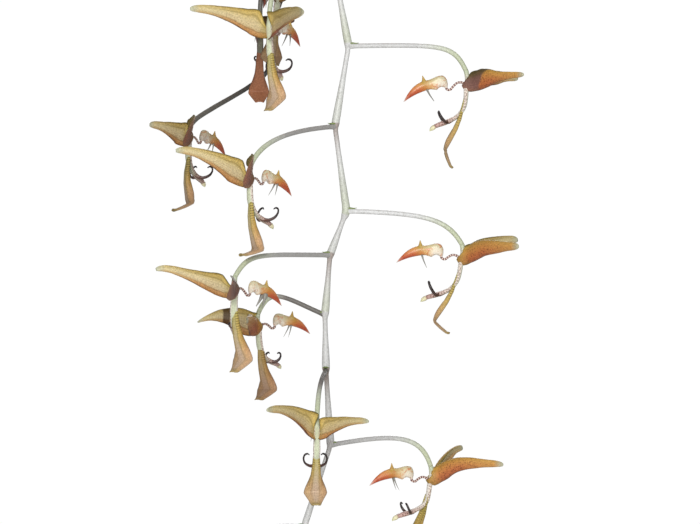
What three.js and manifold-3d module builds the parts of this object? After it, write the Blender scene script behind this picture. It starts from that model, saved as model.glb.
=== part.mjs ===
// Gongora gratulabunda, an orchid with hanging flowers, in a plain clay pot on a wire hanger.
// Millimetres, +Z up. The origin is where the inside of the hook bears on its rail, and -Y is the front,
// the side that the flower raceme hangs on.
// The raceme runs down past the pot: a zigzag stem, and at each bend a flower on a long arched stalk.
// Each flower hangs upside down: two wing sepals point away from the stem, the lip points back at it,
// and the bowed column hangs below with the dorsal sepal behind it and a curled petal on each side.

import * as THREE from "three";
import { mergeVertices } from "three/addons/utils/BufferGeometryUtils.js";
import Module from "manifold-3d";

const wasm = await Module();
wasm.setup();

const gap = 0.35; // between pieces that rest on or in each other

// The pot stands at height 0 of its own measures, and everything is lowered by the hook's height at the end.
const pot = {
  height: 85,
  footRadius: 36,
  neckRadius: 49, // outside, just under the rim band
  rimRadius: 55,
  rimHeight: 17,
  wall: 5,
  drainRadius: 7,
  sides: 24,
};

const soil = { depthBelowRim: 9, chip: 1.4, seed: 7 };

const hanger = {
  wireRadius: 0.9,
  azimuths: [90, 210, 330],
  ferruleHeight: 14,
  ferruleRadius: 5.4,
  ferruleAboveRim: 172,
  wireCircle: 3.1, // where the wires stand in the ferrule
  wireInsert: 7,
};

const hook = { wireRadius: 1.25, crook: 13, shank: 16 };

// Ribbed pseudobulbs. The oldest stands in the middle and has lost its leaves.
const bulbs = [
  { name: "pseudobulb_1_old", x: 1, y: 5, height: 37, radius: 10 },
  { name: "pseudobulb_2", x: 21, y: 19, height: 46, radius: 12 },
  { name: "pseudobulb_3", x: -24, y: 15, height: 49, radius: 12.5 },
  { name: "pseudobulb_4", x: -16, y: -18, height: 50, radius: 12 },
  { name: "pseudobulb_5", x: 14, y: -17, height: 47, radius: 12 },
];
const bulbRibs = 6;
const bulbPlug = { radius: 7.5, depth: 6.5 }; // the part that stands in the soil

// bulb is an index into bulbs; azimuth is where the leaf leans; rise and droop are its slope at root and tip.
const leaves = [
  { name: "leaf_1", bulb: 1, azimuth: -10, length: 205, width: 42, rise: 66, droop: -24 },
  { name: "leaf_2", bulb: 1, azimuth: 76, length: 180, width: 39, rise: 70, droop: -34 },
  { name: "leaf_3", bulb: 2, azimuth: 110, length: 190, width: 42, rise: 72, droop: -22 },
  { name: "leaf_4", bulb: 2, azimuth: 190, length: 208, width: 41, rise: 64, droop: -28 },
  { name: "leaf_5", bulb: 3, azimuth: 248, length: 196, width: 41, rise: 68, droop: -22 },
  { name: "leaf_6", bulb: 4, azimuth: 292, length: 186, width: 40, rise: 62, droop: -26 },
];
const leafThickness = 0.9;

// The raceme is measured from a point beside its stem: X right, Y away from the front, Z up.
const raceme = {
  front: -66, // the plane that its stem hangs in
  height: -58, // its zero, against the foot of the pot
  stemRadius: 1.3,
  jointRadius: 1.62,
  tipRadius: 0.8,
  stalkRadius: 0.95,
  ovaryRadius: 1.15,
};

// The peduncle, from its hole in the soil over the rim and down: x, y, z against the pot.
const pedunclePath = [
  [-5, -40, 68],
  [-5, -42, 84],
  [-4.5, -52, 96],
  [-4, -63, 88],
  [-3.5, -66, 60],
  [-3, -66, 20],
];

// Joints of the raceme, top to bottom: x and z in the raceme's own measures.
const joints = {
  a: [-3.6, 54],
  b: [-1.2, 39],
  c: [-3.2, 24],
  d: [-0.8, 9],
  e: [4.2, -18.4],
  f: [-1.2, -50.6],
  g: [3.4, -84.4],
  h: [-3.2, -102],
  i: [-5.2, -126],
  j: [-4.8, -148],
  k: [-3, -178],
  l: [-13.6, -210.8],
  m: [-9.5, -232],
  n: [-13.5, -249],
};

// Flowers. base is where the flower's stalk ends. leave and arrive shape the stalk: how far it runs level and
// how much it climbs, and how far back and up it bends before the flower; via gives its points instead.
// turn is added to the azimuth from joint to base. tilt lifts the wing side of the whole flower.
// Pairs are for the wing on the flower's -Y and on its +Y side: reach is its length, rise how far it lifts, bow how
// curved it is, peak where along it it is highest and stout how broad it is. spread is the wings' angle from the
// middle. droop turns the lip down and lower hangs it lower. swing turns the lower part of the column about the
// upright, dorsalTurn the dorsal sepal; hang moves that sepal outwards and long stretches it.
const flowers = [
  {
    joint: "a", base: [-24, -10, 5.8], leave: [14, 3], arrive: [3, 14], turn: 79, rise: [10.8, 10.8], droop: 5,
    size: 0.92,
  },
  {
    joint: "b", base: [-32.9, 9, -6.4], leave: [24, 4], arrive: [-1, 14], turn: 112, rise: [3.6, 3], droop: 8,
    size: 0.87, reach: [24, 19], long: 1.15,
  },
  {
    joint: "c", base: [-26.5, -30, -9.2], leave: [16, 3], arrive: [-2, 13], turn: 11, rise: [6.7, 5], droop: 2,
    size: 1, tilt: 5, reach: [30, 28], spread: 54, swing: 8, hang: 5, long: 1.12,
  },
  {
    joint: "d", base: [-58.6, -12, -50.9], turn: 43, rise: [3.6, 3.8], droop: 2, size: 0.95, tilt: 10,
    reach: [15.5, 28], swing: 6, dorsalTurn: -38, hang: 10,
    via: [
      [-13, 13, 12], [-22, 21, 4], [-26, 25, -8], [-26.5, 27.5, -19], [-29.5, 28.5, -27.5], [-36, 26, -33],
      [-41.6, 19, -37], [-50, 3, -43], [-56.4, -8, -48],
    ],
  },
  {
    joint: "e", base: [51.2, 0, -28.4], leave: [38, 0.5], arrive: [5, 11], turn: 0, rise: [1.2, 1.5], droop: 5,
    size: 1, tilt: 5, reach: [29.5, 29.5], bow: [1.6, 1.6], peak: [0.6, 0.7], endTurn: 40,
  },
  {
    joint: "f", base: [-34, -34, -67.8], leave: [24, -2], arrive: [5, 11], turn: 4, rise: [9.4, 6], droop: 3,
    size: 0.98, tilt: 7, reach: [28.7, 26], bow: [1.7, 1.8], dorsalTurn: -17, hang: 6.4, long: 1.05,
  },
  {
    joint: "g", base: [49.6, -2, -98], leave: [31, -1], arrive: [6, 11], turn: 0, rise: [5.7, 7.6], droop: 0,
    size: 1, bow: [2.6, 1.8], endTurn: 7,
  },
  {
    joint: "h", base: [-40, -34, -110.6], leave: [38, 0], arrive: [7, 10], turn: 3, rise: [7.6, 2.6], droop: 6,
    size: 1, tilt: 3, reach: [29.6, 28], bow: [1.2, 1.8], stout: [0.9, 1], lower: 1, swing: 18, hang: 2, long: 1.1,
  },
  {
    joint: "i", base: [-32.2, 7, -125.7], leave: [17, 7], arrive: [5, 12], turn: 50, rise: [4.2, 2.6], droop: 3,
    size: 0.98, tilt: 1, reach: [24, 23], bow: [2, 1.8], peak: [0.55, 0.88], stout: [0.8, 1], swing: 20, hang: 4,
  },
  {
    joint: "j", base: [-8.1, -31, -166.3], leave: [16, -3], arrive: [4, 13], turn: 10, rise: [10.4, 5.5], droop: 6,
    size: 0.94, reach: [30.2, 27.5], spread: 43, bow: [2, 1.9], stout: [1, 0.85],
  },
  {
    joint: "k", base: [37.4, 10, -187.4], leave: [28, 4.5], arrive: [4, 13], turn: 5, rise: [7.2, 11.3], droop: 0,
    size: 1, bow: [3, 1.8], peak: [0.75, 0.88], stout: [0.82, 0.8],
  },
  {
    joint: "l", base: [-47, -18, -226], leave: [24, 3], arrive: [5, 11], turn: 10, rise: [6.8, 6.8], droop: 6,
    size: 0.98,
  },
];

// Closed buds: their stalk's reach from the joint, and their size.
const buds = [
  { joint: "m", reach: [13, -4, -5], length: 12, radius: 2.3 },
  { joint: "n", reach: [-8, -3, -5], length: 9, radius: 1.9 },
];

// One flower's own measures: X away from the stem, Y sideways, Z up, from its base.
const column = {
  path: [[0, 0], [0.9, -3.5], [0.4, -8], [-1.1, -12.5], [-4.2, -17], [-9.5, -19.6], [-13.6, -20.6], [-16, -21.6]],
  halfWidth: [1.15, 1.3, 1.3, 1.35, 1.5, 1.9, 1.5, 0.7],
  halfDepth: [1.15, 1.25, 1.1, 1.0, 1.0, 1.05, 1.1, 0.6],
  sides: 6,
};

const wing = {
  reach: [30.5, 30.5],
  spread: 45, // each side of the X axis
  root: -5.2,
  bow: [1.8, 1.8],
  peak: [0.88, 0.88],
  thickness: 0.75,
  along: [0, 0.12, 0.28, 0.5, 0.78, 1],
  halfWidth: [4.1, 4.7, 4.2, 2.8, 1.7, 0.8],
  curl: [18, 32, 50, 62, 64, 40], // half the angle that the section bends through
  across: 3,
};

const dorsal = {
  path: [[-0.5, -11], [-2.6, -17], [-6, -23.5], [-9.6, -29.4], [-10.2, -31.4], [-7.4, -33.6], [-4, -35.6]],
  halfWidth: [0.9, 1.3, 2.5, 4.1, 4.1, 3, 1.8],
  fold: [10, 20, 34, 30, 26, 24, 20], // degrees that each half is turned out of the flat
  root: [-1.4, -11], // it is placed about this point, and at this drop below it moved out by the whole of hang
  drop: 19.8,
  corner: 4, // the point of its path where it bends
  thickness: 0.75,
};

const petal = {
  path: [
    [-9.2, 0.9, -19.2], [-11.3, 2.7, -19.1], [-13, 4, -17.2], [-13.3, 4.2, -14.8], [-12.1, 3.6, -13.2], [-10.9, 2.9, -13.7],
  ],
  radius: [0.75, 0.6, 0.45, 0.4, 0.4, 0.3],
  sides: 3,
};

const lip = {
  claw: [[-0.95, -5.5], [-2.9, -4.5], [-5.2, -5.4], [-6.7, -6.6], [-7.9, -5.8], [-8.1, -4]],
  clawRadius: 0.5,
  pivot: [-5.2, -5.4], // the droop turns the body about this
  body: [
    [-7.9, -5.2], [-8.2, -3.4], [-9.7, -2.2], [-12.2, -2.7], [-14.6, -3], [-16.8, -2.9], [-19.2, -3.2], [-21.6, -4.2],
    [-23.9, -5.7], [-26.6, -7.3],
  ],
  halfHeight: [0.6, 1.3, 1.9, 1.8, 1.7, 2.1, 1.9, 1.6, 1.0, 0.35],
  halfWidth: [0.6, 1.2, 1.6, 1.5, 1.3, 1.25, 1.15, 0.95, 0.6, 0.35],
  sides: 6,
  horn: { root: [-16.9, -1.6], tip: [-16.9, 1.6], radius: 0.95 },
  awn: { root: [-16.3, 0.6, -4], tip: [-14.4, 1.9, -8.9], radius: 0.4 },
};

const bract = { length: 2.8, halfWidth: 1.15, thickness: 0.8 };

const upward = new THREE.Vector3(0, 0, 1);
const sideways = new THREE.Vector3(0, 1, 0);
const radians = THREE.MathUtils.degToRad;
const vector = (p) => new THREE.Vector3(...p);
const inPlane = ([x, z]) => new THREE.Vector3(x, 0, z);

// Value of a list at share t of its length, straight between its entries.
function listAt(list, t) {
  const at = THREE.MathUtils.clamp(t, 0, 1) * (list.length - 1);
  const i = Math.min(Math.floor(at), list.length - 2);
  return list[i] + (list[i + 1] - list[i]) * (at - i);
}

// Repeatable random numbers from 0 to 1.
function randomFrom(seed) {
  let state = seed;
  return () => {
    state = (state * 1664525 + 1013904223) % 4294967296;
    return state / 4294967296;
  };
}

function toSolid(geometry) {
  const bare = geometry.clone();
  bare.deleteAttribute("normal");
  bare.deleteAttribute("uv");
  const merged = mergeVertices(bare, 1e-4);
  return new wasm.Manifold(
    new wasm.Mesh({
      numProp: 3,
      vertProperties: merged.attributes.position.array,
      triVerts: new Uint32Array(merged.index.array),
    }),
  );
}

function toGeometry(solid) {
  const mesh = solid.getMesh();
  const geometry = new THREE.BufferGeometry();
  geometry.setAttribute("position", new THREE.BufferAttribute(mesh.vertProperties, 3));
  geometry.setIndex(new THREE.BufferAttribute(mesh.triVerts, 1));
  return geometry;
}

function fuse(geometries) {
  return toGeometry(geometries.map(toSolid).reduce((joined, next) => joined.add(next)));
}

// A closed geometry from points and triangles, with its faces turned outwards.
function closedGeometry(points, triangles) {
  let volume = 0;
  for (const [a, b, c] of triangles) {
    volume += points[a].dot(new THREE.Vector3().crossVectors(points[b], points[c]));
  }
  const facing = volume < 0 ? triangles.map(([a, b, c]) => [a, c, b]) : triangles;
  const geometry = new THREE.BufferGeometry().setFromPoints(points);
  geometry.setIndex(facing.flat());
  return geometry;
}

// A solid through rings that hold the same number of points each, closed with a flat face at each end.
function loft(rings) {
  const sides = rings[0].length;
  const triangles = [];
  for (let ring = 0; ring + 1 < rings.length; ring++) {
    for (let i = 0; i < sides; i++) {
      const a = ring * sides + i;
      const b = ring * sides + ((i + 1) % sides);
      triangles.push([a, b, b + sides], [a, b + sides, a + sides]);
    }
  }
  const last = (rings.length - 1) * sides;
  for (let i = 1; i + 1 < sides; i++) {
    triangles.push([0, i + 1, i], [last, last + i, last + i + 1]);
  }
  return closedGeometry(rings.flat(), triangles);
}

// A rod along a path of points. side fixes how the section is turned; width lies along it, depth across it.
function rod(path, widths, depths, sides, side = sideways) {
  const rings = path.map((point, i) => {
    const before = path[Math.max(i - 1, 0)];
    const after = path[Math.min(i + 1, path.length - 1)];
    const along = after.clone().sub(before).normalize();
    const across = side.clone().addScaledVector(along, -side.dot(along)).normalize();
    const deep = new THREE.Vector3().crossVectors(along, across);
    const share = i / (path.length - 1);
    return Array.from({ length: sides }, (_, k) => {
      const angle = (2 * Math.PI * (k + 0.5)) / sides;
      return point
        .clone()
        .addScaledVector(across, listAt(widths, share) * Math.cos(angle))
        .addScaledVector(deep, listAt(depths, share) * Math.sin(angle));
    });
  });
  return loft(rings);
}

function curvePoints(points, segments) {
  return new THREE.CatmullRomCurve3(points, false, "centripetal").getSpacedPoints(segments);
}

// A thin closed blade about a grid of points. Both faces are split into triangles alike.
function blade(rows, thickness) {
  const across = rows[0].length;
  const pointAt = (i, j) =>
    rows[THREE.MathUtils.clamp(i, 0, rows.length - 1)][THREE.MathUtils.clamp(j, 0, across - 1)];
  const faces = [1, -1].map((sign) =>
    rows.flatMap((row, i) =>
      row.map((point, j) => {
        const along = pointAt(i + 1, j).clone().sub(pointAt(i - 1, j));
        const sideStep = pointAt(i, j + 1).clone().sub(pointAt(i, j - 1));
        const normal = along.cross(sideStep).normalize();
        return point.clone().addScaledVector(normal, (sign * thickness) / 2);
      }),
    ),
  );
  const count = rows.length * across;
  const triangles = [];
  for (let i = 0; i + 1 < rows.length; i++) {
    for (let j = 0; j + 1 < across; j++) {
      const [a, b, c, d] = [i * across + j, i * across + j + 1, (i + 1) * across + j + 1, (i + 1) * across + j];
      triangles.push([a, b, c], [a, c, d]);
      triangles.push([a + count, c + count, b + count], [a + count, d + count, c + count]);
    }
  }
  const edge = [];
  for (let j = 0; j + 1 < across; j++) edge.push(j);
  for (let i = 0; i + 1 < rows.length; i++) edge.push(i * across + across - 1);
  for (let j = across - 1; j > 0; j--) edge.push((rows.length - 1) * across + j);
  for (let i = rows.length - 1; i > 0; i--) edge.push(i * across);
  edge.forEach((a, k) => {
    const b = edge[(k + 1) % edge.length];
    triangles.push([a, a + count, b + count], [a, b + count, b]);
  });
  return closedGeometry(faces.flat(), triangles);
}

// The pot, its soil and the hanger.

function potGeometry() {
  const { height, footRadius, neckRadius, rimRadius, rimHeight, wall, drainRadius } = pot;
  const neck = height - rimHeight;
  const profile = [
    [drainRadius, 0],
    [footRadius - 1.5, 0],
    [footRadius, 1.5],
    [neckRadius, neck],
    [rimRadius - 1, neck],
    [rimRadius - 0.6, neck + 1],
    [rimRadius, height - 1.2],
    [rimRadius - 1.2, height],
    [rimRadius - wall + 0.5, height],
    [rimRadius - wall - 0.5, height - 1.2],
    [neckRadius - wall, neck - 4],
    [footRadius - wall, wall + 2],
    [footRadius - wall - 2, wall],
    [drainRadius, wall],
    [drainRadius, 0],
  ];
  const geometry = new THREE.LatheGeometry(profile.map(([r, z]) => new THREE.Vector2(r, z)), pot.sides);
  return geometry.rotateX(Math.PI / 2);
}

// Inside radius of the pot at a height over its foot.
function potInside(z) {
  const low = { z: pot.wall + 2, r: pot.footRadius - pot.wall };
  const mid = { z: pot.height - pot.rimHeight - 4, r: pot.neckRadius - pot.wall };
  const high = { z: pot.height - 1.2, r: pot.rimRadius - pot.wall - 0.5 };
  const [a, b] = z < mid.z ? [low, mid] : [mid, high];
  return a.r + ((b.r - a.r) * (z - a.z)) / (b.z - a.z);
}

const soilTop = pot.height - soil.depthBelowRim;

// Packed bark: a plug that fills the pot, its top raised and sunk in chips, with a plain hole for each thing that stands in it.
function soilGeometry() {
  const random = randomFrom(soil.seed);
  const floor = pot.wall + gap;
  const top = soilTop - soil.chip;
  const middle = pot.height - pot.rimHeight - 4;
  const profile = [
    { r: 0, z: floor },
    { r: pot.footRadius - pot.wall - 2.6, z: floor },
    { r: potInside(pot.wall + 2) - gap, z: pot.wall + 2.2 },
    { r: potInside(middle) - gap, z: middle },
    { r: potInside(top) - gap, z: top },
    { r: potInside(soilTop) * 0.84, z: soilTop, chips: true },
    { r: potInside(soilTop) * 0.58, z: soilTop, chips: true },
    { r: potInside(soilTop) * 0.3, z: soilTop, chips: true },
    { r: 0, z: soilTop },
  ];
  const rings = profile.slice(1, -1).map(({ r, z, chips }) =>
    Array.from({ length: pot.sides }, (_, k) => {
      const angle = (2 * Math.PI * k) / pot.sides;
      const lift = chips ? soil.chip * (2 * random() - 1) : 0;
      const reach = chips ? r * (1 + 0.05 * (random() - 0.5)) : r;
      return new THREE.Vector3(reach * Math.cos(angle), reach * Math.sin(angle), z + lift);
    }),
  );
  let packed = toSolid(loft(rings));
  const hole = (x, y, radius, depth) => {
    const drill = new THREE.CylinderGeometry(radius, radius, depth + 10, 12).rotateX(Math.PI / 2);
    drill.translate(x, y, soilTop - depth + (depth + 10) / 2);
    packed = packed.subtract(toSolid(drill));
  };
  bulbs.forEach(({ x, y }) => hole(x, y, bulbPlug.radius + gap + 0.15, bulbPlug.depth + gap));
  const [x, y, z] = pedunclePath[0];
  hole(x, y, raceme.stemRadius * 1.3 + gap + 0.4, soilTop - z + gap);
  return toGeometry(packed);
}

const ferruleBottom = pot.height + hanger.ferruleAboveRim;
const crookCentre = ferruleBottom + hanger.ferruleHeight + hook.shank + hook.crook;
const bearing = crookCentre + hook.crook - hook.wireRadius;

// A wire hooks under the rim band, runs up its outside and leans in to the ferrule.
function wirePath(azimuth) {
  const lean = radians(azimuth);
  const reach = pot.rimRadius + hanger.wireRadius + gap;
  const under = pot.height - pot.rimHeight - hanger.wireRadius - gap;
  const stations = [
    [pot.neckRadius + hanger.wireRadius + 1, under],
    [reach - 1, under],
    [reach, under + 1],
    [reach, pot.height + 1],
    [reach - 1, pot.height + 5],
    [hanger.wireCircle + 0.6, ferruleBottom - 3],
    [hanger.wireCircle, ferruleBottom - 0.6],
    [hanger.wireCircle, ferruleBottom + hanger.wireInsert],
  ];
  return stations.map(([r, z]) => new THREE.Vector3(r * Math.cos(lean), r * Math.sin(lean), z));
}

function wireGeometry(azimuth, radius = hanger.wireRadius) {
  const side = new THREE.Vector3(-Math.sin(radians(azimuth)), Math.cos(radians(azimuth)), 0);
  return rod(wirePath(azimuth), [radius, radius], [radius, radius], 8, side);
}

const hookSteps = 14;
function hookPath() {
  const low = ferruleBottom + hanger.ferruleHeight - 8;
  const points = [new THREE.Vector3(0, 0, low), new THREE.Vector3(0, 0, crookCentre - hook.crook - 6)];
  for (let i = 0; i <= hookSteps; i++) {
    const angle = radians(-62 + (268 * i) / hookSteps);
    points.push(new THREE.Vector3(hook.crook * Math.cos(angle), 0, crookCentre + hook.crook * Math.sin(angle)));
  }
  return points;
}

function hookGeometry(radius = hook.wireRadius) {
  return rod(hookPath(), [radius, radius], [radius, radius], 8);
}

function ferruleGeometry() {
  const body = new THREE.CylinderGeometry(hanger.ferruleRadius, hanger.ferruleRadius, hanger.ferruleHeight, 20);
  body.rotateX(Math.PI / 2).translate(0, 0, ferruleBottom + hanger.ferruleHeight / 2);
  let sleeve = toSolid(body);
  const drill = (x, y, radius, low, high) => {
    const cut = new THREE.CylinderGeometry(radius, radius, high - low, 12).rotateX(Math.PI / 2);
    sleeve = sleeve.subtract(toSolid(cut.translate(x, y, (low + high) / 2)));
  };
  for (const azimuth of hanger.azimuths) {
    const [x, y] = [Math.cos(radians(azimuth)), Math.sin(radians(azimuth))].map((c) => c * hanger.wireCircle);
    drill(x, y, hanger.wireRadius + gap, ferruleBottom - 5, ferruleBottom + hanger.wireInsert + gap);
  }
  const ferruleTop = ferruleBottom + hanger.ferruleHeight;
  drill(0, 0, hook.wireRadius + gap, ferruleTop - 8 - gap, ferruleTop + 5);
  return toGeometry(sleeve);
}

// Pseudobulbs and leaves.

function bulbGeometry({ x, y, height, radius }) {
  const stations = [
    [-bulbPlug.depth, bulbPlug.radius, 0],
    [0, bulbPlug.radius, 0],
    [height * 0.05, radius * 0.82, 0.5],
    [height * 0.26, radius, 1],
    [height * 0.5, radius * 0.86, 1],
    [height * 0.74, radius * 0.56, 1],
    [height * 0.92, radius * 0.36, 0.6],
    [height, radius * 0.32, 0],
  ];
  const sides = bulbRibs * 2;
  const rings = stations.map(([z, r, ribbed]) =>
    Array.from({ length: sides }, (_, k) => {
      const angle = (2 * Math.PI * k) / sides;
      const reach = r * (k % 2 ? 1 - 0.16 * ribbed : 1);
      return new THREE.Vector3(x + reach * Math.cos(angle), y + reach * Math.sin(angle), soilTop + 1.15 + z);
    }),
  );
  return loft(rings);
}

// Half width of a leaf at share s of its length: a short stalk, then a long pointed blade.
function leafHalfWidth(s, width) {
  const stalk = 1.5 * (1 - s);
  return stalk + (width / 2) * Math.pow(Math.sin(Math.PI * Math.pow(s, 0.85)), 1.4);
}

function leafGeometry({ bulb, azimuth, length, width, rise, droop }) {
  const { x, y, height } = bulbs[bulb];
  const lean = radians(azimuth);
  const out = new THREE.Vector3(Math.cos(lean), Math.sin(lean), 0);
  const side = new THREE.Vector3(-Math.sin(lean), Math.cos(lean), 0);
  const rowsAlong = 8;
  const pleats = 4;
  const point = new THREE.Vector3(x, y, soilTop + 1.15 + height + gap + 0.1).addScaledVector(out, 3.6);
  const rows = [];
  for (let i = 0; i <= rowsAlong; i++) {
    const s = i / rowsAlong;
    const slope = radians(rise + (droop - rise) * Math.pow(s, 1.25));
    const along = out.clone().multiplyScalar(Math.cos(slope)).addScaledVector(upward, Math.sin(slope));
    const over = new THREE.Vector3().crossVectors(side, along).negate();
    const half = Math.max(leafHalfWidth(s, width), 0.7);
    const fold = radians(62 * Math.pow(1 - s, 4) + 14);
    const row = [];
    for (let k = 0; k <= pleats; k++) {
      const v = (2 * k) / pleats - 1;
      const pleat = (k % 2 ? 0.06 : 0) * half;
      row.push(
        point
          .clone()
          .addScaledVector(side, v * half * Math.cos(fold))
          .addScaledVector(over, Math.abs(v) * half * Math.sin(fold) + pleat),
      );
    }
    rows.push(row);
    point.addScaledVector(along, length / rowsAlong);
  }
  return blade(rows, leafThickness);
}

// The raceme.

const stalkStart = (name) => new THREE.Vector3(joints[name][0], 0, joints[name][1]);

// The stalk's path in the raceme's measures, from inside the stem to just short of the flower.
function stalkPath({ joint, base, leave, arrive, via }) {
  const start = stalkStart(joint);
  const end = vector(base);
  const out = end.clone().sub(start).setZ(0).normalize();
  let points;
  if (via) {
    points = curvePoints([start, ...via.map(vector), end], 16);
  } else {
    const leaving = start.clone().addScaledVector(out, leave[0]).addScaledVector(upward, leave[1]);
    const arriving = end.clone().addScaledVector(out, -arrive[0]).addScaledVector(upward, arrive[1]);
    points = new THREE.CubicBezierCurve3(start, leaving, arriving, end).getSpacedPoints(9);
  }
  const last = points.at(-1);
  const inward = points.at(-2).clone().sub(last).normalize();
  last.addScaledVector(inward, gap + 0.62);
  return { points, out };
}

function flowerAzimuth(flower) {
  const { out } = stalkPath(flower);
  return Math.atan2(out.y, out.x) + radians(flower.turn);
}

function stemPath() {
  const upper = pedunclePath.map(([x, y, z]) => new THREE.Vector3(x, y - raceme.front, z - raceme.height));
  const lower = Object.keys(joints).map(stalkStart);
  return { upper: curvePoints([...upper, lower[0]], 16), lower };
}

// The zigzag stem is straight between joints and thicker at each.
function stemGeometry() {
  const { upper, lower } = stemPath();
  const peduncle = rod(upper, [raceme.stemRadius * 1.3, raceme.stemRadius], [raceme.stemRadius * 1.3, raceme.stemRadius], 8);
  const path = [];
  const radii = [];
  lower.forEach((point, i) => {
    const taper = 1 - 0.35 * Math.max(0, (i - 8) / (lower.length - 9));
    path.push(point);
    radii.push((i + 1 < lower.length ? raceme.jointRadius : raceme.tipRadius) * taper);
    if (i + 1 < lower.length) {
      path.push(point.clone().lerp(lower[i + 1], 0.25), point.clone().lerp(lower[i + 1], 0.8));
      radii.push(raceme.stemRadius * taper * 0.92, raceme.stemRadius * taper);
    }
  });
  const rings = path.map((point, i) => {
    const ring = [];
    for (let k = 0; k < 8; k++) {
      const angle = (2 * Math.PI * (k + 0.5)) / 8;
      ring.push(point.clone().add(new THREE.Vector3(radii[i] * Math.cos(angle), radii[i] * Math.sin(angle), 0)));
    }
    return ring;
  });
  return [peduncle, loft(rings)];
}

function stalkGeometry(flower) {
  const { points, out } = stalkPath(flower);
  const side = new THREE.Vector3(-out.y, out.x, 0);
  const widths = [raceme.stalkRadius * 1.25, raceme.stalkRadius, raceme.stalkRadius, raceme.ovaryRadius];
  return rod(points, widths, widths, 5, side);
}

// A small pointed scale on the upper side of a stalk, where it leaves the stem.
function bractGeometry(flower) {
  const { points, out } = stalkPath(flower);
  const start = points[0].clone().addScaledVector(upward, raceme.stalkRadius * 0.9);
  const tip = start.clone().addScaledVector(out, bract.length).addScaledVector(upward, 1.1);
  const side = new THREE.Vector3(-out.y, out.x, 0);
  return rod(
    [start, start.clone().lerp(tip, 0.5), tip],
    [bract.halfWidth, bract.halfWidth * 0.8, 0.25],
    [bract.thickness, bract.thickness * 0.7, 0.25],
    4,
    side,
  );
}

// A closed bud on its own short stalk.
function budGeometry({ joint, reach, length, radius }) {
  const start = stalkStart(joint);
  const neck = start.clone().add(vector(reach));
  const out = neck.clone().sub(start).setZ(0).normalize();
  const side = new THREE.Vector3(-out.y, out.x, 0);
  const path = [[0, 0], [0.04, 0.3], [-0.02, 0.7], [-0.16, 1]].map(([away, down]) =>
    neck.clone().addScaledVector(out, away * length).addScaledVector(upward, -down * length),
  );
  const stalk = [start, start.clone().addScaledVector(out, Math.abs(reach[0]) * 0.6), path[0]];
  const sizes = [0.7, radius, radius * 0.85, 0.3];
  return [rod(stalk, [0.8, 0.7], [0.8, 0.7], 6, side), rod(path, sizes, sizes, 6, side)];
}

function racemeGeometry() {
  const pieces = [...stemGeometry(), ...buds.flatMap(budGeometry), ...flowers.flatMap((f) => [stalkGeometry(f), bractGeometry(f)])];
  return fuse(pieces);
}

// One flower.

// A flower's column turns about the upright as it leaves the wings, and takes what it carries with it.
function swung({ swing = 0 }, point) {
  return point.clone().applyAxisAngle(upward, radians(swing) * THREE.MathUtils.smoothstep(-point.z, 4, 10));
}

function columnGeometry(flower) {
  const path = curvePoints(column.path.map(inPlane), 7).map((point) => swung(flower, point));
  const side = sideways.clone().applyAxisAngle(upward, radians(flower.swing ?? 0));
  return rod(path, column.halfWidth, column.halfDepth, column.sides, side);
}

// One wing sepal: a long blade that curls about its length, hollow on the side away from the stem.
function wingGeometry(mirror, flower) {
  const own = mirror < 0 ? 0 : 1;
  const spread = radians(flower.spread ?? wing.spread) * mirror;
  const reach = (flower.reach ?? wing.reach)[own];
  const bow = (flower.bow ?? wing.bow)[own];
  const peak = (flower.peak ?? wing.peak)[own];
  const stout = (flower.stout ?? [1, 1])[own];
  const out = new THREE.Vector3(Math.cos(spread), Math.sin(spread), 0);
  const hollow = new THREE.Vector3(Math.sin(Math.abs(spread)), -Math.cos(spread) * mirror, 0);
  const middleAt = (u) =>
    new THREE.Vector3(0.5, 0, wing.root)
      .addScaledVector(out, reach * u)
      .addScaledVector(upward, flower.rise[own] * (1 - Math.abs((peak - u) / peak) ** bow));
  const rows = wing.along.map((u, i) => {
    const middle = middleAt(u);
    const along = middleAt(u + 0.01).sub(middle).normalize();
    const across = upward.clone().addScaledVector(along, -upward.dot(along)).normalize();
    const curl = radians(wing.curl[i]);
    const radius = (wing.halfWidth[i] * stout) / curl;
    const row = [];
    for (let k = 0; k <= wing.across; k++) {
      const angle = curl * ((2 * k) / wing.across - 1);
      row.push(
        middle
          .clone()
          .addScaledVector(across, radius * Math.sin(angle))
          .addScaledVector(hollow, radius * (1 - Math.cos(angle))),
      );
    }
    return row;
  });
  return blade(rows, wing.thickness);
}

// The dorsal sepal: a keeled blade that widens to a sharp bend, past which its end turns back out.
function dorsalGeometry(flower) {
  const root = inPlane(dorsal.root);
  const corner = inPlane(dorsal.path[dorsal.corner]);
  const placed = (point, i) => {
    const below = point.clone();
    if (i > dorsal.corner) {
      below.sub(corner).applyAxisAngle(sideways, radians(flower.endTurn ?? 0)).add(corner);
    }
    below.sub(root);
    below.z *= flower.long ?? 1;
    below.x += (flower.hang ?? 0) * THREE.MathUtils.clamp(-below.z / dorsal.drop, 0, 1);
    below.applyAxisAngle(upward, radians(flower.dorsalTurn ?? 0)).add(root);
    return swung(flower, below);
  };
  const rows = dorsal.path.map((point, i) => {
    const middle = inPlane(point);
    const before = inPlane(dorsal.path[Math.max(i - 1, 0)]);
    const after = inPlane(dorsal.path[Math.min(i + 1, dorsal.path.length - 1)]);
    const along = after.sub(before).normalize();
    const outer = new THREE.Vector3().crossVectors(sideways, along);
    const fold = radians(dorsal.fold[i]);
    return [-1, 0, 1].map((v) =>
      placed(
        middle
          .clone()
          .addScaledVector(sideways, v * dorsal.halfWidth[i] * Math.cos(fold))
          .addScaledVector(outer, -Math.abs(v) * dorsal.halfWidth[i] * Math.sin(fold)),
        i,
      ),
    );
  });
  return blade(rows, dorsal.thickness);
}

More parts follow.
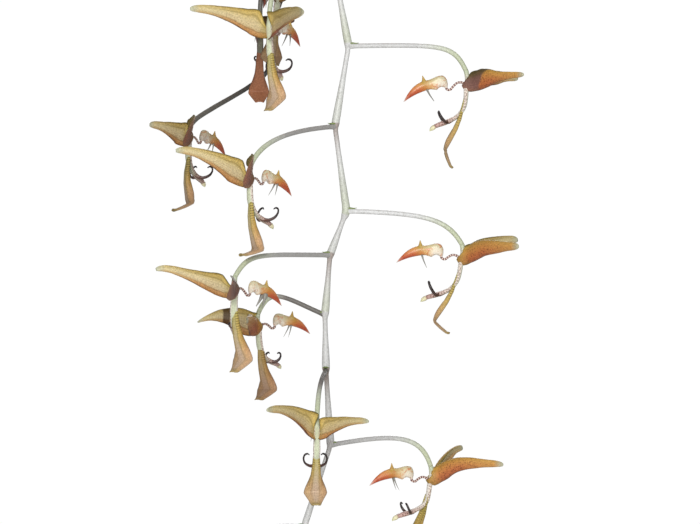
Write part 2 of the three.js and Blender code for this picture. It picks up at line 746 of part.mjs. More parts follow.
function petalGeometry(mirror, flower) {
  const points = petal.path.map(([x, y, z]) => swung(flower, new THREE.Vector3(x, y * mirror, z)));
  return rod(curvePoints(points, 5), petal.radius, petal.radius, petal.sides, new THREE.Vector3(0.6, mirror, 0.2));
}

function perianthGeometry(flower) {
  return fuse([
    columnGeometry(flower),
    wingGeometry(1, flower),
    wingGeometry(-1, flower),
    dorsalGeometry(flower),
    petalGeometry(1, flower),
    petalGeometry(-1, flower),
  ]);
}

// The lip: a thin bent claw, then a humped body with a horn on top, two awns below and a pointed beak.
function lipGeometry({ droop, lower = 0 }) {
  const claw = rod(curvePoints(lip.claw.map(inPlane), 6), [lip.clawRadius, lip.clawRadius], [lip.clawRadius, lip.clawRadius], 4);
  const body = rod(lip.body.map(inPlane), lip.halfWidth, lip.halfHeight, lip.sides);
  const horn = rod([inPlane(lip.horn.root), inPlane(lip.horn.tip)], [lip.horn.radius, 0.3], [lip.horn.radius, 0.3], 4);
  const awns = [1, -1].map((mirror) => {
    const ends = [lip.awn.root, lip.awn.tip].map(([x, y, z]) => new THREE.Vector3(x, y * mirror, z));
    return rod(ends, [lip.awn.radius, 0.3], [lip.awn.radius, 0.3], 3);
  });
  const [px, pz] = lip.pivot;
  for (const piece of [body, horn, ...awns]) {
    piece.translate(-px, 0, -pz).rotateY(radians(-droop)).translate(px, 0, pz - lower);
  }
  return fuse([claw, body, horn, ...awns]);
}

// Materials and assembly.

const material = (color, roughness, metalness = 0) => new THREE.MeshStandardMaterial({ color, roughness, metalness });
const clay = material(0xb4694a, 0.9);
const bark = material(0x5b4331, 1);
const steel = material(0xb9bcc0, 0.35, 1);
const bulbGreen = material(0x7f9a55, 0.55);
const leafGreen = material(0x4f7f3a, 0.5);
const stemGreen = material(0xc3ccb8, 0.6);
const ochre = material(0xc99a4e, 0.6);
const orange = material(0xd9793f, 0.55);

const plant = new THREE.Group();
plant.position.z = -bearing;

function addPiece(name, geometry, finish, parent = plant) {
  const mesh = new THREE.Mesh(geometry, finish);
  mesh.name = name;
  parent.add(mesh);
  return mesh;
}

addPiece("pot", potGeometry(), clay);
addPiece("bark_mix", soilGeometry(), bark);
hanger.azimuths.forEach((azimuth, i) => addPiece("hanger_wire_" + (i + 1), wireGeometry(azimuth), steel));
addPiece("hanger_ferrule", ferruleGeometry(), steel);
addPiece("hanger_hook", hookGeometry(), steel);
bulbs.forEach((bulb) => addPiece(bulb.name, bulbGeometry(bulb), bulbGreen));
leaves.forEach((leaf) => addPiece(leaf.name, leafGeometry(leaf), leafGreen));

const racemeGroup = new THREE.Group();
racemeGroup.position.set(0, raceme.front, raceme.height);
plant.add(racemeGroup);
addPiece("raceme_stem", racemeGeometry(), stemGreen, racemeGroup);
flowers.forEach((flower, i) => {
  const label = String(i + 1).padStart(2, "0");
  const head = new THREE.Group();
  head.position.set(...flower.base);
  head.rotation.set(0, radians(-(flower.tilt ?? 0)), flowerAzimuth(flower), "ZYX");
  head.scale.setScalar(flower.size);
  racemeGroup.add(head);
  addPiece("flower_" + label + "_sepals_column", perianthGeometry(flower), ochre, head);
  addPiece("flower_" + label + "_lip", lipGeometry(flower), orange, head);
});

const object = new THREE.Group();
object.add(plant);
export default object;
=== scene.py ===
# Gongora gratulabunda in a hanging clay pot: the visual model, the light and the camera.
# Sizes are in millimetres until a mesh is made. X is right, Y away from the front, Z up from where the hook
# bears on its rail.
from math import atan2, cos, exp, pi, radians, sin

import bpy
from mathutils import Matrix, Vector, noise


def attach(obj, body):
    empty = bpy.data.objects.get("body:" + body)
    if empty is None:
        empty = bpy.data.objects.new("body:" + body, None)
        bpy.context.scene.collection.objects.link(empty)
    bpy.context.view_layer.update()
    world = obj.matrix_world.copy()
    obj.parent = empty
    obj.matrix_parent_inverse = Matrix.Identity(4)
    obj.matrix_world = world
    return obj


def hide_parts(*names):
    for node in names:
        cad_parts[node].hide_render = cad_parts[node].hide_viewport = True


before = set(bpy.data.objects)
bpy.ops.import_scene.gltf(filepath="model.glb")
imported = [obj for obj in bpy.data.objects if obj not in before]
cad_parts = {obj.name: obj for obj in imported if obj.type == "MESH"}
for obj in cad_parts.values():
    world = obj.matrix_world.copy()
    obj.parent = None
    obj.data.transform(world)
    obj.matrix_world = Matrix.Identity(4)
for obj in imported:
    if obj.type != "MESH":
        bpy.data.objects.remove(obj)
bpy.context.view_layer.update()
scene = bpy.context.scene
mm = 0.001
up = Vector((0, 0, 1))

potFoot = -311.75  # the pot's foot below the hook's bearing point
racemeZero = Vector((0, -66, potFoot - 58))  # the raceme's own zero; its stem hangs in this plane

# the values kept on each point of a mesh, which its materials read
valueNames = ("along", "across", "inner", "flush", "age")

# Each kind of node: its type, the sockets that its values go to, the output that is used and its settings.
# Where the last two are left out, the node's first output is used and it has no settings.
nodeKinds = {
    "value": ("ShaderNodeAttribute", (), "Fac", {}),
    "place": ("ShaderNodeTexCoord", (), "Object", {}),
    "range": ("ShaderNodeMapRange", ("Value", "From Min", "From Max", "To Min", "To Max")),
    "mix": ("ShaderNodeMix", (0, 6, 7), 2, {"data_type": "RGBA"}),
    "darken": ("ShaderNodeMix", (0, 6, 7), 2, {"data_type": "RGBA", "blend_type": "MULTIPLY"}),
    "ramp": ("ShaderNodeValToRGB", (0, "stops")),
    "noise": ("ShaderNodeTexNoise", ("Vector", "Scale", "Detail", "Roughness", "Distortion"), "Fac", {}),
    "noiseColor": ("ShaderNodeTexNoise", ("Vector", "Scale", "Detail"), "Color", {}),
    "cells": ("ShaderNodeTexVoronoi", ("Vector", "Scale", "Randomness"), "Distance", {}),
    "flatCells": ("ShaderNodeTexVoronoi", ("Vector", "Scale", "Randomness"),
                  "Distance", {"voronoi_dimensions": "2D"}),
    "cellColor": ("ShaderNodeTexVoronoi", ("Vector", "Scale"), "Color", {}),
    "vector": ("ShaderNodeCombineXYZ", (0, 1, 2)),
    "firstChannel": ("ShaderNodeSeparateColor", (0,)),
    "bump": ("ShaderNodeBump", ("Height", "Strength", "Distance")),
    "shader": ("ShaderNodeBsdfPrincipled",
               ("Base Color", "Roughness", "Metallic", "Specular IOR Level", "Normal")),
    "surface": ("ShaderNodeOutputMaterial", ("Surface",)),
    "rays": ("ShaderNodeLightPath", (), "Is Camera Ray", {}),
    "glow": ("ShaderNodeBackground", ("Color", "Strength")),
    "chosen": ("ShaderNodeMixShader", (0, 1, 2)),
    "sky": ("ShaderNodeOutputWorld", ("Surface",)),
    "given": ("NodeGroupInput", ()),
    "normal": ("GeometryNodeInputNormal", ()),
    "position": ("GeometryNodeInputPosition", ()),
    "height": ("ShaderNodeSeparateXYZ", (0,), 2, {}),
    "above": ("FunctionNodeCompare", (0, 1), 0, {"data_type": "FLOAT", "operation": "GREATER_THAN"}),
    "strewn": ("GeometryNodeDistributePointsOnFaces", ("Mesh", "Selection", "Density", "Seed"), "Points", {}),
    "block": ("GeometryNodeMeshCube", ("Size", "Vertices X", "Vertices Y", "Vertices Z"), "Mesh", {}),
    "less": ("ShaderNodeVectorMath", (0, 1), 0, {"operation": "SUBTRACT"}),
    "scaled": ("ShaderNodeVectorMath", (0, "Scale"), 0, {"operation": "SCALE"}),
    "moved": ("GeometryNodeSetPosition", ("Geometry", "Offset")),
    "anyTurn": ("FunctionNodeRandomValue", (0, 1, "Seed"), 0, {"data_type": "FLOAT_VECTOR"}),
    "anySize": ("FunctionNodeRandomValue", (2, 3, "Seed"), 1, {"data_type": "FLOAT"}),
    "placed": ("GeometryNodeInstanceOnPoints", ("Points", "Instance", "Rotation", "Scale")),
    "real": ("GeometryNodeRealizeInstances", (0,)),
    "joined": ("GeometryNodeJoinGeometry", (0,)),
    "circle": ("GeometryNodeCurvePrimitiveCircle", ("Resolution", "Radius")),
    "swept": ("GeometryNodeCurveToMesh", ("Curve", "Profile Curve", "Fill Caps")),
    "smoothed": ("GeometryNodeSetShadeSmooth", (0,)),
    "painted": ("GeometryNodeSetMaterial", ("Geometry", "Material")),
    "result": ("NodeGroupOutput", (0,)),
}
mathKinds = {"times": "MULTIPLY", "plus": "ADD", "minus": "SUBTRACT", "timesPlus": "MULTIPLY_ADD",
             "sine": "SINE", "absolute": "ABSOLUTE"}
for kind, operation in mathKinds.items():
    nodeKinds[kind] = ("ShaderNodeMath", (0, 1, 2), 0, {"operation": operation})


def hexColor(text):
    parts = [int(text[i : i + 2], 16) / 255 for i in (1, 3, 5)]
    return [p / 12.92 if p <= 0.04045 else ((p + 0.055) / 1.055) ** 2.4 for p in parts] + [1.0]


# Adds a node and gives its output. A value is a number, a link, a hex colour, a ramp's stops, the name of a
# value kept on the points, "place" for a point's place on its object, or a node's kind and values.
def addNode(tree, kind, *values, **moreSettings):
    nodeType, sockets, output, settings = (*nodeKinds[kind], 0, {})[:4]
    node = tree.nodes.new(nodeType)
    for name, setting in {**settings, **moreSettings}.items():
        setattr(node, name, setting)
    for socket, value in zip(sockets, values):
        if value == "place":
            value = addNode(tree, "place")
        elif isinstance(value, str) and value in valueNames:
            value = addNode(tree, "value", attribute_name=value)
        elif isinstance(value, tuple) and value[0] in nodeKinds:
            value = addNode(tree, *value)
        if socket == "stops":
            elements = node.color_ramp.elements
            elements[0].position, elements[1].position = value[0][0], value[-1][0]
            for place, color in value[1:-1]:
                elements.new(place)
            for element, (place, color) in zip(elements, value):
                element.color = hexColor(color)
        elif isinstance(value, bpy.types.NodeSocket):
            tree.links.new(value, node.inputs[socket])
        else:
            node.inputs[socket].default_value = hexColor(value) if isinstance(value, str) else value
    return node.outputs[output] if node.outputs else None


def smooth(low, high, value):
    t = min(max((value - low) / (high - low), 0), 1)
    return t * t * (3 - 2 * t)


# value of a table of (place, value) pairs at a place, straight between its rows
def tableAt(table, place):
    if place <= table[0][0]:
        return table[0][1]
    for (a, va), (b, vb) in zip(table, table[1:]):
        if place <= b:
            return va + (vb - va) * (place - a) / (b - a)
    return table[-1][1]


# the point at t on a line that is at p when t is low and at q when it is high
def between(p, q, low, high, t):
    return p * ((high - t) / (high - low)) + q * ((t - low) / (high - low))


# points of a Catmull-Rom curve through the given points, evenly spread along it
def smoothPath(points, count):
    points = [Vector(p) for p in points]
    ends = [points[0] * 2 - points[1]] + points + [points[-1] * 2 - points[-2]]
    steps = 24  # between two given points
    fine = []
    for i in range(1, len(ends) - 2):
        p0, p1, p2, p3 = ends[i - 1 : i + 3]
        t0, t1 = 0.0, max((p1 - p0).length ** 0.5, 1e-6)
        t2 = t1 + max((p2 - p1).length ** 0.5, 1e-6)
        t3 = t2 + max((p3 - p2).length ** 0.5, 1e-6)
        for k in range(steps):
            t = t1 + (t2 - t1) * k / steps
            a1, a2, a3 = between(p0, p1, t0, t1, t), between(p1, p2, t1, t2, t), between(p2, p3, t2, t3, t)
            b1, b2 = between(a1, a2, t0, t2, t), between(a2, a3, t1, t3, t)
            fine.append(between(b1, b2, t1, t2, t))
    fine.append(points[-1])
    return evenPath(fine, count)


# how far along a line each of its points is
def distances(line):
    result = [0.0]
    for a, b in zip(line, line[1:]):
        result.append(result[-1] + (b - a).length)
    return result


def evenPath(fine, count):
    lengths = distances(fine)
    result = []
    k = 0
    for i in range(count + 1):
        want = lengths[-1] * i / count
        while k < len(fine) - 2 and lengths[k + 1] < want:
            k += 1
        span = lengths[k + 1] - lengths[k]
        share = (want - lengths[k]) / span if span > 1e-9 else 0
        result.append(fine[k].lerp(fine[k + 1], share))
    return result


# the direction of a line at each of its points
def directions(line):
    last = len(line) - 1
    return [(line[min(i + 1, last)] - line[max(i - 1, 0)]).normalized() for i in range(last + 1)]


# a piece in the making: points in mm, faces, the material slot of each face, and values kept on each point
def newPiece():
    return {"points": [], "faces": [], "slots": [], "values": []}


def addPart(piece, points, faces, slot, values):
    start = len(piece["points"])
    piece["points"] += points
    piece["values"] += values
    piece["faces"] += [[start + i for i in face] for face in faces]
    piece["slots"] += [slot] * len(faces)


# makes the mesh object with its materials
def makeMesh(piece, name, materials, matrix=Matrix()):
    mesh = bpy.data.meshes.new(name)
    mesh.from_pydata([(matrix @ p) * mm for p in piece["points"]], [], piece["faces"])
    for polygon, slot in zip(mesh.polygons, piece["slots"]):
        polygon.material_index = slot
        polygon.use_smooth = True
    for k, valueName in enumerate(valueNames):
        layer = mesh.attributes.new(valueName, "FLOAT", "POINT")
        layer.data.foreach_set("value", [float(v[k]) for v in piece["values"]])
    for material in materials:
        mesh.materials.append(material)
    mesh.validate()
    mesh.update()
    made = bpy.data.objects.new(name, mesh)
    scene.collection.objects.link(made)
    return made


# sets an object in place of its CAD node
def settle(made, node):
    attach(made, "root")
    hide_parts(node)


def finishPiece(piece, name, node, materials, matrix=Matrix()):
    settle(makeMesh(piece, name, materials, matrix), node)


# the faces between rings of points; wrap joins the last ring to the first
def ringFaces(rings, sides, wrap=False):
    faces = []
    for i in range(rings if wrap else rings - 1):
        low, high = i * sides, (i + 1) % rings * sides
        for k in range(sides):
            ahead = (k + 1) % sides
            faces.append((low + k, low + ahead, high + ahead, high + k))
    return faces


# a closed tube along a path; width lies along side and depth, where it differs, across it
def addTube(piece, path, widths, sides, slot, side=(0, 1, 0), values=None, depths=None):
    side = Vector(side)
    last = len(path) - 1
    points, kept = [], []
    for i, (point, along) in enumerate(zip(path, directions(path))):
        share = i / last
        across = (side - along * side.dot(along)).normalized()
        deep = along.cross(across)
        width, depth = tableAt(widths, share), tableAt(depths or widths, share)
        for k in range(sides):
            angle = 2 * pi * (k + 0.5) / sides
            points.append(point + across * (width * cos(angle)) + deep * (depth * sin(angle)))
            kept.append(values(share, angle) if values else (share, cos(angle), 0.5, 0, 0))
    faces = ringFaces(len(path), sides)
    for i in (0, last):
        centre = len(points)
        points.append(path[i].copy())
        kept.append(kept[i * sides])
        for k in range(sides):
            a, b = i * sides + k, i * sides + (k + 1) % sides
            faces.append((centre, a, b) if i else (centre, b, a))
    addPart(piece, points, faces, slot, kept)


# a closed thin blade about a grid of rows; thickness(u, v) is its full thickness
def addBlade(piece, rows, thickness, slot, values):
    down, wide = len(rows) - 1, len(rows[0]) - 1
    points, kept, faces = [], [], []
    for sign in (1, -1):
        for i, row in enumerate(rows):
            for j, point in enumerate(row):
                alongStep = rows[min(i + 1, down)][j] - rows[max(i - 1, 0)][j]
                acrossStep = row[min(j + 1, wide)] - row[max(j - 1, 0)]
                normal = alongStep.cross(acrossStep).normalized()
                u, v = i / down, 2 * j / wide - 1
                points.append(point + normal * (sign * thickness(u, v) / 2))
                kept.append(values(u, v, sign))
    count = (down + 1) * (wide + 1)
    grid = lambda i, j: i * (wide + 1) + j
    for i in range(down):
        for j in range(wide):
            a, b, c, d = grid(i, j), grid(i, j + 1), grid(i + 1, j + 1), grid(i + 1, j)
            faces.append((a, d, c, b))
            faces.append((a + count, b + count, c + count, d + count))
    edge = [grid(0, j) for j in range(wide)] + [grid(i, wide) for i in range(down)]
    edge += [grid(down, j) for j in range(wide, 0, -1)] + [grid(i, 0) for i in range(down, 0, -1)]
    for k, a in enumerate(edge):
        b = edge[(k + 1) % len(edge)]
        faces.append((a, b, b + count, a + count))
    volume = 0
    for face in faces:
        for k in range(1, len(face) - 1):
            a, b, c = points[face[0]], points[face[k]], points[face[k + 1]]
            volume += a.dot(b.cross(c))
    if volume < 0:
        faces = [tuple(reversed(face)) for face in faces]
    addPart(piece, points, faces, slot, kept)


print("stage: camera and light")

# the photograph's frame is 700 by 524 pixels at 0.4 mm each, seen through a long lens
cameraSetup = {"frameWidth": 280.0, "frameHeight": 209.6, "centreX": 4.8, "distance": 1300.0, "sensor": 36.0}
centreHeight = racemeZero.z - cameraSetup["frameHeight"] / 2
cameraData = bpy.data.cameras.new("camera")
cameraData.sensor_width = cameraSetup["sensor"]
cameraData.lens = cameraSetup["sensor"] * cameraSetup["distance"] / cameraSetup["frameWidth"]
cameraData.clip_end = 20
camera = bpy.data.objects.new("camera", cameraData)
camera.location = Vector((cameraSetup["centreX"], racemeZero.y - cameraSetup["distance"], centreHeight)) * mm
camera.rotation_euler = (radians(90), 0, 0)
scene.collection.objects.link(camera)
scene.camera = camera

lights = {
    "key": {"place": (-260, -1500, 420), "size": 520, "power": 17.0},
    "fill": {"place": (700, -1250, 120), "size": 700, "power": 4.0},
    "back": {"place": (150, 1500, 350), "size": 700, "power": 5.0},
    "top": {"place": (60, 100, 1300), "size": 600, "power": 3.0},
}
for lightName, look in lights.items():
    lightData = bpy.data.lights.new(lightName, "AREA")
    lightData.size = look["size"] * mm
    lightData.energy = look["power"]
    light = bpy.data.objects.new(lightName, lightData)
    aim = Vector((0, -60, centreHeight))
    light.location = (aim + Vector(look["place"])) * mm
    light.rotation_euler = (-Vector(look["place"])).to_track_quat("-Z", "Y").to_euler()
    scene.collection.objects.link(light)

# paper white behind everything; what lights the plant is softer than what the camera sees
world = bpy.data.worlds.new("white studio")
scene.world = world
world.use_nodes = True
sky = world.node_tree
sky.nodes.clear()
paper = {"white": (1, 1, 1, 1), "light": 0.24, "seen": 1.02}
addNode(sky, "sky", ("chosen", ("rays",), ("glow", paper["white"], paper["light"]),
                     ("glow", paper["white"], paper["seen"])))
scene.view_settings.view_transform = "Standard"
scene.view_settings.look = "None"

print("stage: materials")


# a material of a colour, a roughness and, where it has a height, a bump of so many mm; each may be a node
def makeMaterial(name, color, roughness, height=None, bump=0.0, metallic=0.0, specular=0.5):
    material = bpy.data.materials.new(name)
    material.use_nodes = True
    tree = material.node_tree
    tree.nodes.clear()
    normal = [("bump", height, 1.0, bump * mm)] if height else []
    addNode(tree, "surface", ("shader", color, roughness, metallic, specular, *normal))
    return material


# A texture's scale counts its patches in one metre, so 1000 divided by it is the size of a patch in mm.
# This is fine darker grain, about half a millimetre, like the cells of a thin petal.
def inkGrain(color, depth):
    return ("darken", 1.0, color, ("range", ("noise", "place", 1900.0, 2.0), 0.35, 0.65, 1 - depth, 1.06))


# a plain pale floor well below the lowest flower
floorMesh = bpy.data.meshes.new("floor")
corners = [(x * 2.5, y * 2.5, -1.05) for x, y in ((-1, -1), (1, -1), (1, 1), (-1, 1))]
floorMesh.from_pydata(corners, [], [(0, 1, 2, 3)])
floorMesh.materials.append(makeMaterial("matt white studio floor", "#F4F4F2", 0.9))
floor = bpy.data.objects.new("floor", floorMesh)
scene.collection.objects.link(floor)

# Waxy sepal skin: a golden or buff ground that changes from margin to margin, with fine red-brown spots.
# hollow and back are the colours from the lower to the upper margin on each face, and spacing is in mm.
sepalLooks = {
    "wing": {
        # the darker stops near 0.29 and 0.72 of the hollow face are painted shade along its grooves
        "hollow": [(0.0, "#6B4A2A"), (0.04, "#B8804A"), (0.12, "#D09A62"), (0.24, "#D0A06C"),
                   (0.29, "#A98455"), (0.34, "#CFBB8E"), (0.5, "#D0BF92"), (0.66, "#CDBB82"),
                   (0.72, "#AE9A5C"), (0.77, "#D9C27A"), (0.88, "#E3C872"), (0.96, "#BFA95C"),
                   (1.0, "#6E6434")],
        "back": [(0.0, "#5A3424"), (0.07, "#9A5634"), (0.26, "#B5643A"), (0.46, "#C07440"), (0.63, "#C88A46"),
                 (0.79, "#CC9C48"), (0.9, "#B8954A"), (0.97, "#8E8040"), (1.0, "#55502A")],
        "outerHollow": "#D6C796", "outerBack": "#D8A95A", "tip": "#B7BAA0", "tipFrom": 0.88,
        "base": "#A89848", "baseTo": 0.14, "baseAmount": 0.6, "dashes": 0.0,
        # the next ramp tints a wing plum-brown low and dark olive high, as colour and as painted shade where
        # it is seen end-on
        "flush": [(0.0, "#9A6A56"), (0.25, "#7E5A52"), (0.6, "#73534C"), (0.74, "#5E4C34"), (0.88, "#4A4426"),
                  (1.0, "#5A5430")],
        "spot": "#70351C", "hollowSpots": 0.32, "backSpots": 0.95, "spacing": 0.9,
    },
    "dorsal": {
        # the darker stops near 0.32 and 0.68 of the hollow face are painted shade along its folds
        "hollow": [(0.0, "#6A4A2A"), (0.05, "#B58A4C"), (0.16, "#CFA45C"), (0.28, "#CBA46C"),
                   (0.32, "#A07C4E"), (0.38, "#CFB89A"), (0.5, "#D2BAA4"), (0.62, "#CFB89A"),
                   (0.68, "#A07C4E"), (0.72, "#CBA46C"), (0.84, "#CB944E"), (0.95, "#AE7A40"),
                   (1.0, "#6A4A2A")],
        "back": [(0.0, "#6A4A2A"), (0.12, "#BC9650"), (0.5, "#CBA866"), (0.88, "#BC9650"), (1.0, "#6A4A2A")],
        "outerHollow": "#CDB397", "outerBack": "#B8A060", "tip": "#A8935C", "tipFrom": 0.9,
        "base": "#B4AC58", "baseTo": 0.62, "baseAmount": 1.0, "dashes": 0.85,
        "flush": [(0.0, "#9A6548"), (1.0, "#9A6548")],
        "spot": "#6C3618", "hollowSpots": 0.25, "backSpots": 0.75, "spacing": 0.9,
    },
}


def makeSepalSkin(name, look):
    wander = ("noise", "place", 160.0, 3.0)
    shifted = ("plus", "across", ("timesPlus", wander, 0.16, -0.08))
    farther = ("range", "along", 0.4, 0.8, 0.0, 0.6)
    back = ("mix", farther, ("ramp", shifted, look["back"]), look["outerBack"])
    hollow = ("mix", farther, ("ramp", shifted, look["hollow"]), look["outerHollow"])
    skin = ("mix", "inner", back, hollow)
    dot = ("range", ("cells", "place", 1000 / look["spacing"], 0.9), 0.24, 0.38, 1.0, 0.0)
    thick = ("range", "inner", 0.0, 1.0, look["backSpots"], look["hollowSpots"])
    inPlace = ("times", ("range", "across", 0.1, 0.9, 1.0, 0.35), ("range", "along", 0.5, 0.85, 1.0, 0.35))
    skin = ("mix", ("times", ("times", dot, thick), inPlace), skin, look["spot"])
    vein = ("range", ("sine", ("times", "across", 75.0)), 0.2, 1.0, 0.0, 0.2)
    skin = ("mix", vein, skin, "#94693E")
    skin = ("mix", ("range", "along", 0.0, look["baseTo"], look["baseAmount"], 0.0), skin, look["base"])
    if look["dashes"] > 0:
        crossing = ("range", ("sine", ("times", "along", 190.0)), 0.5, 0.8)
        aside = ("range", ("absolute", ("minus", "across", 0.5)), 0.12, 0.2)
        nearRoot = ("range", "along", 0.25, 0.42, look["dashes"], 0.0)
        skin = ("mix", ("times", ("times", crossing, aside), nearRoot), skin, "#5A3A1E")
    skin = ("mix", ("range", "along", look["tipFrom"], 0.98, 0.0, 0.85), skin, look["tip"])
    # plum tint on wings and rust on the dorsal sepal, which on a wing seen end-on is also painted shade
    skin = ("mix", "flush", skin, ("ramp", shifted, look["flush"]))
    # painted shade: darkens the sepals of a flower that hangs in shade towards dark brown
    skin = ("mix", "age", skin, "#40230E")
    return makeMaterial(name, inkGrain(skin, 0.22), 0.5, wander, 0.12, specular=0.3)


wingSkin = makeSepalSkin("waxy spotted sepal", sepalLooks["wing"])
dorsalSkin = makeSepalSkin("waxy dorsal sepal", sepalLooks["dorsal"])

# Column: ivory with short rows of red-brown spots, a pale green ridge behind, flushed plum towards its end.
columnLook = {"ivory": "#F4EDE2", "ridge": "#CDD2B4", "side": "#E0D3C4", "spot": "#6A3A2A", "plum": "#C0948C",
              "brown": "#7C5A50", "stalk": "#BEC6A8", "shadedTone": "#3A2A22", "rows": 26.0, "lanes": 4.1}
ridge = ("range", "inner", 0.78, 0.9)
atSide = ("range", ("absolute", ("minus", "across", 0.5)), 0.36, 0.46)
browned = ("mix", "flush", columnLook["ivory"], columnLook["brown"])
ground = ("mix", ridge, ("mix", atSide, browned, columnLook["side"]), columnLook["ridge"])
toned = ("mix", ("range", "along", 0.62, 0.9, 0.0, 0.8), ground, columnLook["plum"])
laid = ("vector", ("times", "along", columnLook["rows"]), ("times", "inner", columnLook["lanes"]))
dots = ("flatCells", laid, 1.0, 0.6)
dot = ("times", ("range", dots, 0.2, 0.42, 1.0, 0.0), ("minus", 1.0, ridge))
amount = ("times", dot, ("range", atSide, 0.0, 1.0, 0.2, 0.9))
spotted = ("mix", amount, toned, columnLook["spot"])
headed = ("mix", ("range", "along", 0.03, 0.16, 1.0, 0.0), spotted, columnLook["stalk"])
# painted shade: darkens the column of a flower that hangs in shade
shadedTone = ("mix", "age", headed, columnLook["shadedTone"])
columnSkin = makeMaterial("ivory spotted column", inkGrain(shadedTone, 0.15), 0.4)

# Petal: nearly black plum at the root, browner along the curl.
tones = [(0.0, "#84584C"), (0.3, "#5A3C34"), (0.6, "#302626"), (1.0, "#2A2424")]
petalSkin = makeMaterial("dark plum petal", ("ramp", "along", tones), 0.35)

# Anther cap: smooth cream with a green tinge.
tones = [(0.0, "#CDBFA0"), (0.5, "#E6DFB8"), (1.0, "#D3D3A0")]
capSkin = makeMaterial("cream anther cap", ("ramp", "along", tones), 0.35)

# Lip: cream hump with orange streaks, then an orange-red beak with a pale tip; the claw is barred dark red.
top = [(0.0, "#CFC4A6"), (0.2, "#D6CCA4"), (0.42, "#CDB67C"), (0.52, "#BE9A48"), (0.6, "#D69C5A"),
       (0.75, "#DA8C56"), (0.88, "#C45E34"), (0.95, "#C8907C"), (1.0, "#E6DCD6")]
low = [(0.0, "#D9CDBB"), (0.2, "#EADFCC"), (0.34, "#DCAE74"), (0.48, "#C27C38"), (0.62, "#B8542A"),
       (0.85, "#A83E22"), (0.95, "#B8705A"), (1.0, "#E0D4CC")]
level = ("range", "across", 0.25, 0.8)
ground = ("mix", level, ("ramp", "along", low), ("ramp", "along", top))
wander = ("noise", "place", 520.0, 3.0, 0.5, 1.2)
onHump = ("range", "along", 0.4, 0.55, 1.0, 0.15)
streaked = ("mix", ("times", ("range", wander, 0.52, 0.66, 0.0, 0.8), onHump), ground, "#C9763E")
# painted shade: the lip of a flower that hangs in shade is darkened towards dark brown
lipSkin = makeMaterial("waxy orange lip", ("mix", "age", streaked, "#3A2A22"), 0.34, wander, 0.1)

bars = ("range", ("sine", ("times", "along", 62.0)), -0.2, 0.3)
clawSkin = makeMaterial("barred lip claw", ("mix", bars, "#6B3B3C", "#D8C2B4"), 0.4)

awnSkin = makeMaterial("thin grey awn", "#8E8C84", 0.5)

# Stem and stalks: pale grey with faint flecks; across is how much painted shade darkens them, inner how
# green, and the fourth value how brown.
wander = ("noise", "place", 900.0, 2.0)
dark = ("ramp", "across", [(0.0, "#DCDCDE"), (0.45, "#A5A3A4"), (0.75, "#7A7174"), (1.0, "#3C3838")])
brown = ("mix", "flush", ("mix", "inner", dark, "#BCC4A2"), "#94837A")
flecked = ("mix", ("range", wander, 0.5, 0.72, 0.0, 0.3), brown, "#85847A")
stemSkin = makeMaterial("grey-green orchid stem", inkGrain(flecked, 0.12), 0.42, wander, 0.06)

bractSkin = makeMaterial("green joint scale", "#7F8F55", 0.55)

# Leaf: satin green, paler along the pleats and on the back.
greens = [(0.3, "#3E6B2C"), (0.55, "#4F7F38"), (0.75, "#6B9546")]
line = ("sine", ("times", "across", 210.0))
ground = ("ramp", ("noise", "place", 38.0, 4.0), greens)
veined = ("mix", ("range", line, 0.3, 1.0, 0.0, 0.3), ground, "#86A85C")
backed = ("mix", ("times", "inner", 0.35), veined, "#8FAA72")
tipped = ("mix", ("range", "along", 0.9, 1.0, 0.0, 0.6), backed, "#8C7A46")
leafSkin = makeMaterial("satin pleated leaf", tipped, 0.38, line, 0.05)

# Pseudobulb: waxy green, yellower on its ribs, browner at the foot.
ground = ("ramp", "along", [(0.0, "#8A7B4A"), (0.18, "#7E9150"), (0.6, "#7C9C4C"), (1.0, "#5E7F3C")])
ribbed = ("mix", "inner", ground, "#A9B36A")
bulbSkin = makeMaterial("waxy pseudobulb", ribbed, 0.4, ("noise", "place", 120.0, 4.0), 0.3)

# Fired clay: matt red-brown with fine grit, paler in patches where salts have dried out.
cloud = ("noise", "place", 28.0, 5.0, 0.62)
ground = ("ramp", cloud, [(0.3, "#A85C3E"), (0.5, "#B96B48"), (0.7, "#C57C58")])
salted = ("mix", ("range", cloud, 0.56, 0.74, 0.0, 0.5), ground, "#D9C0AE")
claySkin = makeMaterial("fired terracotta clay", salted, 0.88, ("noise", "place", 1400.0, 3.0), 0.15)

# Fir bark: dark red-brown chips, each with its own tone and rough grain.
grain = ("noise", "place", 420.0, 5.0)
browns = [(0.0, "#3B271B"), (0.45, "#5D3F2A"), (0.8, "#7A573B"), (1.0, "#95744F")]
ground = ("ramp", ("firstChannel", ("cellColor", "place", 150.0)), browns)
rough = ("darken", 0.6, ground, ("noiseColor", "place", 420.0, 5.0))
barkSkin = makeMaterial("chipped fir bark", rough, 0.92, grain, 0.8)

# Galvanised steel wire: satin grey metal with soft dull spangle.
spangle = ("noise", "place", 260.0, 3.0)
ground = ("ramp", spangle, [(0.3, "#8E9296"), (0.7, "#B9BCBF")])
dull = ("range", spangle, 0.0, 1.0, 0.28, 0.5)
steelSkin = makeMaterial("galvanised steel wire", ground, dull, metallic=1.0)

print("stage: flowers")

# joints of the raceme, top to bottom: x and z in its own measures
joints = {
    "a": (-3.6, 54), "b": (-1.2, 39), "c": (-3.2, 24), "d": (-0.8, 9), "e": (4.2, -18.4), "f": (-1.2, -50.6),
    "g": (3.4, -84.4), "h": (-3.2, -102), "i": (-5.2, -126), "j": (-4.8, -148), "k": (-3, -178),
    "l": (-13.6, -210.8), "m": (-9.5, -232), "n": (-13.5, -249),
}
